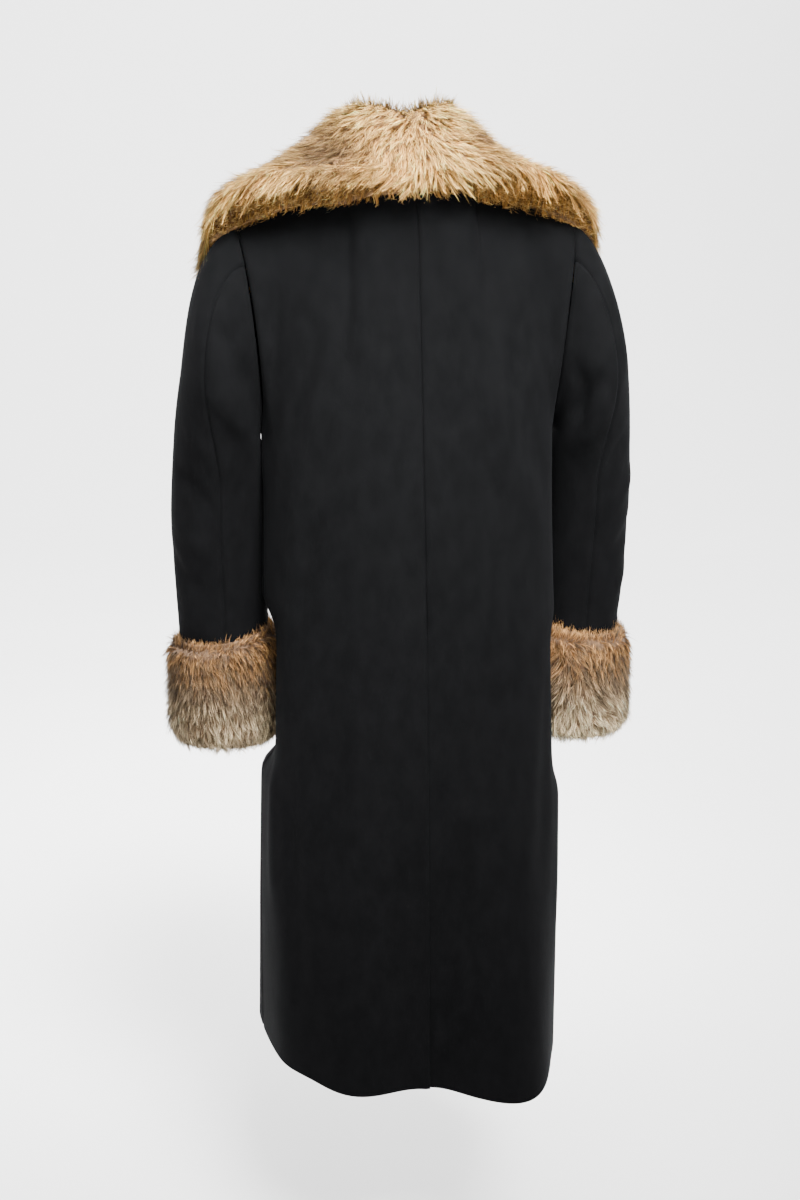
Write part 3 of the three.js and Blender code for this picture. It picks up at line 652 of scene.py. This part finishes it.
PANEL_ROWS = np.r_[
    0.0, 0.002, 0.005, 0.009,
    np.linspace(0.014, 1, 100),
    np.linspace(1, 1.955, 36)[1:],
    1.968, 1.98, 1.988, 1.995, 2.0,
]
SLEEVE_ROWS = np.r_[-1, -0.99, -0.975, -0.955, -0.93, np.linspace(-0.9, 0, 17), np.linspace(0, WRIST, 62)[1:]]
for side, word, sleeve_creases in ((1, "left", LEFT_CREASES), (-1, "right", RIGHT_CREASES)):
    for face in ("back", "front"):
        piece, area = wall(
            f"{face}_{word}",
            lambda u, v: panel(side, face, u, v),
            close_to_ends(46),
            PANEL_ROWS,
            np.array([side * 70.0, 0.0, -500.0]),
            BODY_CREASES,
            (face == "back", True, False, True),
        )
    for half, first, last in (
        ("upper", ELBOW_SEAM, FRONT_SEAM),
        ("under", FRONT_SEAM, AROUND + ELBOW_SEAM),
    ):
        piece, area = wall(
            f"sleeve_{word}_{half}",
            lambda u, v: sleeve(side, first + u * (last - first), v),
            close_to_ends(32),
            SLEEVE_ROWS,
            np.array([side * 248.0, -40.0, -400.0]),
            sleeve_creases,
            (True, True, True, False),
        )


# ---- Buttons
def hoop_quads(rows, count):
    a = (np.arange(rows - 1)[:, None] * count + np.arange(count)).ravel()
    b = (np.arange(rows - 1)[:, None] * count + (np.arange(count) + 1) % count).ravel()
    return np.stack([a, b, b + count, a + count], 1)


def ring_of(points_2d, count, centre):
    """A lathed disc that faces -Y: rows of (radius, out)."""
    angle = np.linspace(0, 2 * math.pi, count, endpoint=False)
    rows = [
        stack(centre[0] + r * np.cos(angle), centre[1] - out, centre[2] + r * np.sin(angle))
        for r, out in points_2d
    ]
    return np.concatenate(rows), hoop_quads(len(rows), count)


def tube(path, radius, count=8):
    """A thin round thread along a path."""
    path = np.asarray(path, float)
    tangent = unit(np.gradient(path, axis=0))
    side = unit(np.cross(tangent, (0.3, 0.9, 0.1)))
    other = np.cross(tangent, side)
    angle = np.linspace(0, 2 * math.pi, count, endpoint=False)[None, :, None]
    rings = path[:, None] + radius * (np.cos(angle) * side[:, None] + np.sin(angle) * other[:, None])
    return rings.reshape(-1, 3), hoop_quads(len(path), count)


def joined(parts):
    points, faces, base = [], [], 0
    for p, f in parts:
        points.append(p)
        faces.append(f + base)
        base += len(p)
    return np.concatenate(points), np.concatenate(faces)


# A button's profile: shares of its radius and of its thickness.
BUTTON_PROFILE = [
    (0.8, 0), (0.95, 0.2), (1, 0.45), (0.985, 0.8), (0.93, 1), (0.84, 0.98), (0.74, 0.76), (0.6, 0.68),
]
WELL = 0.66
BUTTON_SIDES = 64
STITCH_ASIDE, STITCH_HALF, STITCH_STEPS = 2.2, 2.6, 9
HOLE_STITCHES, HOLE_START, HOLE_LONG = 46, 3, 29

for i in range(3):
    low, high = (np.array(c) * 1000 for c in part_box(f"button_{i + 1}"))
    centre = np.array([(low[0] + high[0]) / 2, high[1], (low[2] + high[2]) / 2])
    radius, thick = (high[0] - low[0]) / 2, high[1] - low[1]
    profile = [(0.01, 0)] + [(radius * r, thick * out) for r, out in BUTTON_PROFILE] + [(0.01, thick * WELL)]
    disc = mesh_object(f"horn_button_{i + 1}", *ring_of(profile, BUTTON_SIDES, centre))
    disc.data.materials.append(horn)
    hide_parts(f"button_{i + 1}")
    stitches = []
    face_y = centre[1] - thick * WELL
    z = np.linspace(-STITCH_HALF, STITCH_HALF, STITCH_STEPS)
    for dx in (-STITCH_ASIDE, STITCH_ASIDE):
        for lift in (0.25, 0.65):
            y = face_y - 0.9 * np.cos(z / STITCH_HALF * math.pi / 2) * lift - 0.1
            stitches.append(tube(stack(centre[0] + dx + lift - 0.45, y, centre[2] + z), 0.32))
    sewn = mesh_object(f"button_thread_{i + 1}", *joined(stitches))
    sewn.data.materials.append(thread)
    # The buttonhole's stitches run out from the button, over and under the cut.
    across = np.repeat(centre[0] - HOLE_START - HOLE_LONG * np.arange(HOLE_STITCHES) / (HOLE_STITCHES - 1), 2)
    up = np.tile([-1.5, 1.5], HOLE_STITCHES)
    seat = skirt(-1, "front", np.clip(-across / 183, -0.2, 1), centre[2] + up)[:, 1]
    hole = [
        stack(x, y - np.array([0.2, 0.7, 0.0]), centre[2] + rise * np.array([0.25, 1, 1.6]))
        for x, y, rise in zip(across, seat, up)
    ]
    edges = mesh_object(f"buttonhole_{i + 1}", *joined([tube(p, 0.42, 5) for p in hole]))
    edges.data.materials.append(thread)


# ---- Fur
HUB_FACES = 20


def rounded(node, level):
    """A finer, rounder copy of a solid as numbers: points in millimetres, normals, triangles. The hub of
    the flat end between the collar's halves is left open, so that the end isn't rounded off."""
    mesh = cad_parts[node].data.copy()
    shape = bmesh.new()
    shape.from_mesh(mesh)
    bmesh.ops.remove_doubles(shape, verts=shape.verts, dist=2e-5)
    hubs = [v for v in shape.verts if len(v.link_faces) > HUB_FACES]
    if hubs:
        bmesh.ops.delete(shape, geom=[min(hubs, key=lambda v: abs(v.co.x))], context="VERTS")
    shape.to_mesh(mesh)
    shape.free()
    holder = bpy.data.objects.new("holder", mesh)
    bpy.context.scene.collection.objects.link(holder)
    finer = holder.modifiers.new("finer", "SUBSURF")
    finer.levels = finer.render_levels = level
    finer.use_limit_surface = False
    bpy.context.view_layer.update()
    made = bpy.data.meshes.new_from_object(holder.evaluated_get(bpy.context.evaluated_depsgraph_get()))
    bpy.data.objects.remove(holder)
    bpy.data.meshes.remove(mesh)
    made.calc_loop_triangles()
    points, normals = np.zeros((2, len(made.vertices) * 3))
    made.vertices.foreach_get("co", points)
    made.vertices.foreach_get("normal", normals)
    triangles = np.zeros(len(made.loop_triangles) * 3, np.int32)
    made.loop_triangles.foreach_get("vertices", triangles)
    bpy.data.meshes.remove(made)
    return points.reshape(-1, 3) * 1000, unit(normals.reshape(-1, 3)), triangles.reshape(-1, 3)


def scattered(base, count, weight, rng):
    """Points spread over a surface, with their normals. weight says how thick the hair is at a place."""
    points, normals, triangles = base
    a, b, c = (points[triangles[:, k]] for k in range(3))
    thick = weight((a + b + c) / 3, unit(normals[triangles].sum(1)))
    area = np.linalg.norm(np.cross(b - a, c - a), axis=1) * thick
    pick = rng.choice(len(triangles), count, p=area / area.sum())
    r1, r2 = np.sqrt(rng.random(count)), rng.random(count)
    share = np.stack([1 - r1, r1 * (1 - r2), r1 * r2], 1)
    chosen = triangles[pick]
    return (points[chosen] * share[..., None]).sum(1), unit((normals[chosen] * share[..., None]).sum(1))


def tree_of(points):
    made = kdtree.KDTree(len(points))
    for i, p in enumerate(points):
        made.insert(p, i)
    made.balance()
    return made


SWIRLS = np.random.default_rng(21).normal(size=(3, 6, 3)) / 34
SWIRL_STARTS = np.random.default_rng(22).uniform(0, 2 * math.pi, (3, 6))


def swirl(points):
    """A smooth wandering direction."""
    return np.stack([np.sin(points @ SWIRLS[k].T + SWIRL_STARTS[k]).sum(1) for k in range(3)], 1) / 2.4


GUIDE_STOPS = 6
GUIDE_LEAVES = 14
OFF_THE_PILE = (1.5, 14)


def guides_of(base, count, flow, length, pile, lift, weight, outer, holds, stray, seed, hang):
    """Guide hairs that lean along the flow over the surface while it holds them, and then run straight on,
    free for a length between the two of hang: (roots, paths)."""
    rng = np.random.default_rng(seed)
    points, normals, _ = base
    near = tree_of(points)
    at, out = scattered(base, count, weight, rng)
    stops = GUIDE_STOPS
    ease = np.linspace(0, 1, stops)
    long = length(at, out, rng)
    high = lift(at, rng) + stray * (rng.random(count) < 0.12) * rng.uniform(0.4, 1.2, count)
    turned = rng.normal(0, 0.22, (count, 3))
    paths = np.zeros((count, stops, 3))
    place = at.copy()
    clear = outer(at)
    facing = dot(out, clear)
    normal = unit(out + clear * 1.2 * smooth(-facing, -0.45, 0.25))
    past = ~holds(at, out)
    budget = np.where(past, rng.uniform(*OFF_THE_PILE, (count, 1)), rng.uniform(*hang, (count, 1)))
    paths[:, 0] = at - out * pile
    for k in range(1, stops):
        heading = flow(place, normal) + 0.3 * swirl(place) + turned
        heading = unit(heading - normal * dot(heading, normal))
        stride = (long / (stops - 1))[:, None]
        stride = np.where(past, np.minimum(stride, budget), stride)
        budget = np.where(past, budget - stride, budget)
        place = place + heading * stride
        index = np.array([near.find(p)[1] for p in place])
        nearest, found = points[index], normals[index]
        agree = dot(found, normal) > 0.35
        agree &= holds(place, found)
        agree &= np.linalg.norm(place - nearest, axis=1, keepdims=True) < GUIDE_LEAVES
        past = past | ~agree
        normal = np.where(agree, unit(0.5 * normal + 0.5 * found), normal)
        level = place - normal * dot(place - nearest, normal)
        place = np.where(agree, level, place)
        rise = -pile + (pile + high) * ease[k] ** 0.8
        paths[:, k] = place + normal * rise[:, None]
    return at, paths


def hair(name, base, guides, count, weight, wide, segments, clump, colours, seed, reach, loose):
    """Flat tapering hairs that gather towards their guides."""
    rng = np.random.default_rng(seed)
    guide_at, paths = guides
    at, out = scattered(base, count, weight, rng)
    near = tree_of(guide_at)
    index = np.array([near.find(p)[1] for p in at])
    leaning = rng.normal(0, 0.22, (index.max() + 1, 1, 3))[index]
    stops = paths.shape[1]
    t = np.linspace(0, 1, segments + 1)
    reached = rng.uniform(*reach, count)
    where = t[None] * reached[:, None] * (stops - 1)
    low = np.minimum(where.astype(int), stops - 2)
    part = (where - low)[..., None]
    rows = index[:, None]
    line = paths[rows, low] * (1 - part) + paths[rows, low + 1] * part
    offset = at - guide_at[index]
    offset -= out * dot(offset, out) * 0.3
    line = line + offset[:, None] * (1 - clump * t[None, :, None] ** 1.2)
    line = line + rng.normal(0, loose, (count, 1, 3)) * (t[None, :, None] ** 1.3)
    line = line + rng.normal(0, loose * 0.28, (count, segments + 1, 3)) * t[None, :, None]
    tangent = unit(np.gradient(line, axis=1))
    spin = rng.normal(0, 0.6, count)[:, None, None]
    flat = unit(np.cross(tangent, out[:, None]))
    other = np.cross(tangent, flat)
    across = flat * np.cos(spin) + other * np.sin(spin)
    width = wide * rng.uniform(0.6, 1.35, count)[:, None] * (1 - t[None, :-1]) ** 0.55 / 2
    half = across[:, :-1] * width[..., None]
    pairs = np.stack([line[:, :-1] - half, line[:, :-1] + half], 2)
    points = np.concatenate([pairs.reshape(count, -1, 3), line[:, -1:]], 1)
    each = 2 * segments + 1
    strip = []
    for k in range(segments - 1):
        strip += [(2 * k, 2 * k + 1, 2 * k + 3), (2 * k, 2 * k + 3, 2 * k + 2)]
    strip.append((2 * segments - 2, 2 * segments - 1, 2 * segments))
    faces = (np.arange(count)[:, None, None] * each + np.array(strip)).reshape(-1, 3)
    piece = mesh_object(name, points.reshape(-1, 3), faces)
    along = np.r_[np.repeat(t[:-1], 2), 1.0]
    colour = colours(at, along, rng, index)
    colour = np.concatenate([colour, np.ones((*colour.shape[:2], 1))], 2)
    shade = piece.data.attributes.new("hair_colour", "FLOAT_COLOR", "POINT")
    shade.data.foreach_set("color", colour.astype(np.float32).ravel())
    upper = unit(out + np.array([0, 0, 1.0]) * smooth(-out[:, 2:3], 0.0, 0.6))
    soft = unit(upper[:, None] + leaning + rng.normal(0, 0.28, (count, 1, 3)))
    lie = piece.data.attributes.new("hair_normal", "FLOAT_VECTOR", "POINT")
    lie.data.foreach_set("vector", np.broadcast_to(soft, points.shape).astype(np.float32).ravel())
    return piece


def under_pile(name, node, base, depth, bare, finish):
    """The dense short hair: the solid, rounder, and drawn in by the depth of the long hair."""
    points, normals, triangles = base
    rough = np.sin(points @ (SWIRLS.reshape(-1, 3)[:9] * 3).T).sum(1) * 0.35
    drawn = (depth + rough) * bare(points, normals)
    piece = mesh_object(name, points - normals * drawn[:, None], triangles)
    piece.data.materials.append(finish)
    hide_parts(node)
    return piece


def srgb(*values):
    c = np.array(values, float) / 255
    return np.where(c <= 0.04045, c / 12.92, ((c + 0.055) / 1.055) ** 2.4)


def blotch(at, middle, size):
    return np.exp(-(((at - np.array(middle)) / np.array(size)) ** 2).sum(1))


def dyed(colour, tint, strength, least, spread, most, rng):
    """Some strands mixed towards a tint, each by its own share."""
    share = np.clip(strength * (least + spread * rng.random(len(strength))), 0, most)
    return mix(colour, tint, share[:, None, None])


# Collar. Its fronts lie where y is below COLLAR_FRONT, and the fall at the back grows over COLLAR_BACK.
COLLAR_FRONT = -60
COLLAR_BACK = (-80, -30)


def chest_out(points):
    return unit(points * (0.6, 1, 0) + (0, 0, 70.0))


def collar_flow(points, normals):
    """Down and away from the neck, as the fall lies; out of the neck on the inside of the roll."""
    squeeze = np.where(points[:, 1:2] < COLLAR_FRONT, (1.0, 0.5, 1), (1, 1, 1))
    away = unit((points - (6, -14, 0)) * (1, 1, 0) * squeeze)
    facing = dot(normals, away)
    down = away * 0.9 + np.array([0, 0, -0.7])
    front = smooth(-points[:, 1:2], 60, 130)
    down = mix(down, unit(stack(np.sign(points[:, 0]) * 0.55, 0, -1)), front)
    upwards = away * 0.6 + np.array([0, 0, 0.9])
    return mix(down, upwards, smooth(-facing, 0.05, 0.45) * (1 - front))


def collar_thick(points, normals):
    facing = (normals * chest_out(points)).sum(1)
    neck = (normals * unit(points * (1, 1, 0))).sum(1)
    rim = np.exp(-(((normals[:, 2] - 0.1) / 0.3) ** 2)) * smooth(points[:, 1], *COLLAR_BACK)
    hidden = smooth(-neck, 0.2, 0.7) * (points[:, 2] < 60)
    return smooth(facing, -0.8, -0.3) * (1 + 2.2 * rim) * (1 - 0.6 * hidden)


def collar_lift(points, rng):
    """How far over the solid the tips stand: most on the crest of the roll."""
    crest = smooth(points[:, 2], 62, 100)
    return rng.uniform(0, 5, len(points)) + crest * rng.uniform(2, 7, len(points))


def collar_rim(points, normals):
    """1 where the fall of the back turns under, and 0 on the rest of the collar."""
    return smooth(-normals[:, 2], -0.45, -0.1) * smooth(points[:, 1], *COLLAR_BACK)


def collar_length(points, normals, rng):
    return 24 * rng.uniform(0.75, 1.25, len(points)) * (1 + 1.3 * collar_rim(points, normals))


def collar_bare(points, normals):
    return smooth((normals * chest_out(points)).sum(1), -0.85, -0.4)


def collar_holds(points, normals):
    """Whether hair lies on the collar there: not where it turns away from the chest, or under at the back."""
    over = (normals[:, 2:3] > -0.1) | (points[:, 1:2] < COLLAR_FRONT)
    return (dot(normals, chest_out(points)) > 0.3) & over


COLLAR_ROOT = srgb(84, 54, 28)
COLLAR_MIDDLE = srgb(200, 146, 72)
COLLAR_TIP = srgb(246, 208, 132)


def collar_colours(at, along, rng, index):
    count = len(at)
    lock = np.random.default_rng(5).normal(0, 1, index.max() + 1)[index]
    t = along[None, :, None]
    crest = 0.1 * smooth(at[:, 2], 70, 100)[:, None, None]
    tone = np.clip(t * 1.15 + 0.10 * rng.normal(size=(count, 1, 1)) + crest, 0, 1)
    colour = mix(COLLAR_ROOT, COLLAR_MIDDLE, smooth(tone, 0.1, 0.55))
    colour = mix(colour, COLLAR_TIP, smooth(tone, 0.5, 1.0) * 0.8)
    grey = 1.5 * blotch(at, (100, 84, 46), (38, 36, 22)) + 1.1 * blotch(at, (110, 20, 66), (56, 50, 24))
    brown = 1.5 * blotch(at, (-74, 70, 66), (24, 30, 16)) + 1.8 * blotch(at, (86, 97, 36), (10, 14, 9))
    brown += 1.0 * blotch(at, (196, 70, 8), (12, 22, 14)) + 0.6 * blotch(at, (-214, 40, 0), (14, 30, 12))
    gold = 1.0 * blotch(at, (-136, 90, 4), (46, 40, 26)) + 0.35 * blotch(at, (30, 96, 40), (50, 40, 40))
    gold += 0.5 * blotch(at, (-196, 60, -16), (30, 40, 24))
    patch = np.sin(at @ (SWIRLS[0, :4] * 1.5).T + SWIRL_STARTS[0, :4]).sum(1)
    brown += 0.5 * smooth(patch, 0.7, 2.4)
    colour = dyed(colour, srgb(104, 84, 62), grey, 0.45, 0.5, 0.9, rng)
    colour = dyed(colour, srgb(92, 60, 34), brown, 0.35, 0.6, 0.85, rng)
    colour = dyed(colour, srgb(216, 150, 72), gold, 0.4, 0.6, 1, rng)
    dark = (rng.random(count) < 0.2)[:, None, None]
    colour = np.where(dark, mix(colour, srgb(74, 50, 30), 0.7), colour)
    light = np.exp(0.24 * rng.normal(size=(count, 1, 1)) + (0.22 * lock + 0.15 * patch)[:, None, None])
    return np.clip(colour * light, 0, 1)


# Cuffs. Each function takes the side first: 1 on the left and -1 on the right.
def cuff_out(side, points):
    return unit((points - (side * CUFF_X, CUFF_Y, 0)) * (1, 1, 0))


def cuff_top(side, points):
    """1 on the top lip of a cuff, which is higher towards the body, and 0 below it."""
    inner = np.clip(0.5 - (side * points[:, 0:1] - CUFF_X) / 160, 0, 1)
    lip = -576 + 24 * inner ** 2 - (0 if side > 0 else CUFF_RIGHT_DROP)
    return smooth(points[:, 2:3] - lip, -17, -6)


def cuff_facing(side, points, normals):
    return dot(normals, cuff_out(side, points))


def cuff_flow(side, points, normals):
    """Down the arm, and up on the top lip."""
    away = cuff_out(side, points) * 0.3
    return mix(np.array([0, 0, -1.0]) + away, np.array([0, 0, 1.0]) + away, cuff_top(side, points))


def cuff_thick(side, points, normals):
    facing = cuff_facing(side, points, normals)[:, 0]
    return smooth(facing, -0.45, 0.15) + 0.8 * smooth(np.abs(normals[:, 2]), 0.5, 0.9)


def cuff_holds(side, points, normals):
    return cuff_facing(side, points, normals) > 0.3


def cuff_bare(side, points, normals):
    return smooth(cuff_facing(side, points, normals)[:, 0], -0.3, 0.3)


def cuff_length(side, points, normals, rng):
    return mix(20, 10, cuff_top(side, points)[:, 0]) * rng.uniform(0.7, 1.25, len(points))


def cuff_lift(side, points, rng):
    return rng.uniform(0, 4, len(points)) + cuff_top(side, points)[:, 0] * 2


def cuff_colours(side, at, along, rng, index):
    count = len(at)
    lock = np.random.default_rng(6).normal(0, 1, index.max() + 1)[index]
    z = at[:, 2] + (0 if side > 0 else CUFF_RIGHT_DROP)
    high = smooth(z + 20 * lock, -640, -574)[:, None, None]
    low = smooth(-z + 20 * lock, 628, 705)[:, None, None]
    t = np.clip(along[None, :, None] + 0.12 * rng.normal(size=(count, 1, 1)), 0, 1)
    rust = mix(srgb(92, 62, 34), srgb(178, 134, 84), smooth(t, 0.1, 0.9))
    grey = mix(srgb(70, 56, 42), srgb(160, 136, 108), smooth(t, 0.1, 0.95))
    cream = mix(srgb(130, 104, 74), srgb(250, 226, 184), smooth(t, 0.1, 0.9))
    colour = mix(mix(grey, cream, low), rust, high)
    spots = blotch(at, (293, -9, -683), (12, 60, 12)) + blotch(at, (280, -3, -702), (12, 60, 9))
    spots += blotch(at, (234, 2, -703), (14, 60, 10)) + blotch(at, (-276, -4, -690), (12, 60, 9))
    colour = dyed(colour, srgb(92, 66, 42), spots, 0.5, 0.5, 0.8, rng)
    dark = (rng.random(count) < 0.15)[:, None, None]
    colour = np.where(dark, colour * 0.5, colour)
    light = np.exp(0.22 * rng.normal(size=(count, 1, 1)) + 0.2 * lock[:, None, None])
    # Painted shade: the left cuff's colours are darkened to 0.72 of the right cuff's, for the less lit left
    # side.
    return np.clip(colour * light * (0.72 if side > 0 else 1.0), 0, 1)


# name, hairs, width, segments, how much they gather, reach, looseness, seed
COLLAR_COATS = [
    ("hair", 38500, 0.9, 3, 0.42, (0.6, 1.08), 1.7, 41),
    ("guard_hair", 4200, 0.6, 4, 0.3, (0.95, 1.25), 3.6, 51),
]
CUFF_COATS = [
    ("hair", 21500, 0.9, 3, 0.45, (0.6, 1.05), 1.4, 71),
    ("guard_hair", 2400, 0.6, 3, 0.35, (0.95, 1.2), 3.0, 81),
]
# depth of the pile, depth of the roots, guides, stray, seed, free lengths
COLLAR_PILE = (7.0, 8.0, 8500, 5.0, 31, (15, 40))
CUFF_PILE = (6.0, 7.0, 4600, 5.0, 61, (1.5, 15))
COLLAR_RULES = (collar_flow, collar_length, collar_lift, collar_thick, chest_out, collar_holds, collar_bare)
CUFF_RULES = (cuff_flow, cuff_length, cuff_lift, cuff_thick, cuff_out, cuff_holds, cuff_bare)


def furred(kind, word, side, level, rules, colours, pile, coats, finish, short_finish):
    """The fur of one node: the short pile, and the long hair in two coats."""
    flow, length, lift, thick, outer, holds, bare = rules
    depth, root, most, stray, seed, hang = pile
    node = f"{kind}_{word}"
    base = rounded(node, level)
    pieces = [under_pile(f"{kind}_pile_{word}", node, base, depth, bare, short_finish)]
    guides = guides_of(base, most, flow, length, root, lift, thick, outer, holds, stray, seed + side, hang)
    for coat, count, wide, segments, clump, reach, loose, start in coats:
        pieces.append(hair(
            f"{kind}_{coat}_{word}", base, guides, count, thick, wide, segments, clump, colours, start + side,
            reach, loose,
        ))
        pieces[-1].data.materials.append(finish)
    return pieces


collar_hair = hair_material("collar_hair")
cuff_hair = hair_material("cuff_hair")
# Painted shade: the piles' colours are kept dark, partly as the underfur's own colour and partly to stand for
# the shadow among the hairs.
collar_pile_and_shade = pile_material("collar_pile_and_shade", tuple(srgb(78, 52, 30)), tuple(srgb(150, 112, 70)))
cuff_pile_and_shade = pile_material("cuff_pile_and_shade", tuple(srgb(58, 40, 24)), tuple(srgb(110, 82, 54)))
for side, word in ((1, "left"), (-1, "right")):
    looks = (COLLAR_RULES, collar_colours, COLLAR_PILE, COLLAR_COATS, collar_hair, collar_pile_and_shade)
    for piece in furred("collar", word, side, 2, *looks):
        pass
    rules = [partial(rule, side) for rule in CUFF_RULES]
    looks = (rules, partial(cuff_colours, side), CUFF_PILE, CUFF_COATS, cuff_hair, cuff_pile_and_shade)
    for piece in furred("cuff", word, side, 1, *looks):
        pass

# ---- Camera, light and floor
AZIMUTH, PITCH, ROLL = math.radians(171.5), math.radians(14.0), math.radians(0.35)
AWAY, HEIGHT, ASIDE = 2150.0, 10.0, 12.2
towards = np.array([math.sin(AZIMUTH), -math.cos(AZIMUTH), 0.0])
right = np.array([math.cos(AZIMUTH), math.sin(AZIMUTH), 0.0])
ahead = -towards * math.cos(PITCH) + np.array([0, 0, -math.sin(PITCH)])
above = np.cross(right, ahead)
right_axis = right * math.cos(ROLL) - above * math.sin(ROLL)
up_axis = above * math.cos(ROLL) + right * math.sin(ROLL)
lens = bpy.data.cameras.new("camera")
lens.lens, lens.sensor_width = 50.4, 36.0
camera = bpy.data.objects.new("camera", lens)
bpy.context.scene.collection.objects.link(camera)
facing = Matrix([right_axis, up_axis, -ahead]).transposed().to_4x4()
spot = (towards * AWAY - right * ASIDE + np.array([0, 0, HEIGHT])) / 1000
camera.matrix_world = Matrix.Translation(Vector(spot)) @ facing
bpy.context.scene.camera = camera


def lamp(name, size, power_w, place, target, spread=180):
    light = bpy.data.lights.new(name, "AREA")
    light.shape, light.size, light.size_y = "RECTANGLE", size[0], size[1]
    light.spread = math.radians(spread)
    light.energy = power_w
    made = bpy.data.objects.new(name, light)
    bpy.context.scene.collection.objects.link(made)
    made.location = Vector(place)
    made.visible_camera = False
    made.rotation_mode = "QUATERNION"
    made.rotation_quaternion = (Vector(target) - Vector(place)).to_track_quat("-Z", "Y")


lamp("key", (1.5, 1.1), 35, (-0.4, 1.75, 1.8), (0, 0, -0.08), 34)
lamp("fill", (1.6, 1.2), 8, (0.7, 2.5, -0.3), (0, 0, 0.0), 50)
lamp("top", (1.4, 1.0), 92, (0.0, 0.6, 1.65), (0, 0, 0.0))
lamp("front", (1.8, 1.8), 150, (-0.8, -2.4, 1.5), (0, 0, -0.2))
lamp("backdrop", (9.0, 3.0), 1180, (0, -3.6, 3.2), (0, -5.4, -1.0))
world = bpy.data.worlds.new("studio")
world.use_nodes = True
set_inputs(world.node_tree.nodes["Background"], {"Color": (1.0, 1.0, 1.0, 1), "Strength": 0.22})
bpy.context.scene.world = world

floor_material = plain_material("studio_floor", (1.5, 2), (0.90, 0.90, 0.90), (0.92, 0.92, 0.92), 0.95)
set_inputs(floor_material.node_tree.nodes["Principled BSDF"], {"Specular IOR Level": 0.1})
FLOOR_Z, WALL_Y, SWEEP = -1460.0, -7000.0, 2600.0
turn = np.linspace(0, math.pi / 2, 25)
profile = np.concatenate([
    [(30000.0, FLOOR_Z)],
    np.stack([WALL_Y + SWEEP * (1 - np.sin(turn)), FLOOR_Z + SWEEP * (1 - np.cos(turn))], 1),
    [(WALL_Y, 6000.0)],
])
sheet = np.array([[(x, y, z) for y, z in profile] for x in (-24000.0, 24000.0)])
floor = mesh_object("studio_floor", sheet.reshape(-1, 3), grid_quads(*sheet.shape[:2]), body=None)
floor.data.materials.append(floor_material)
floor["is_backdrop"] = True

low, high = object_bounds()
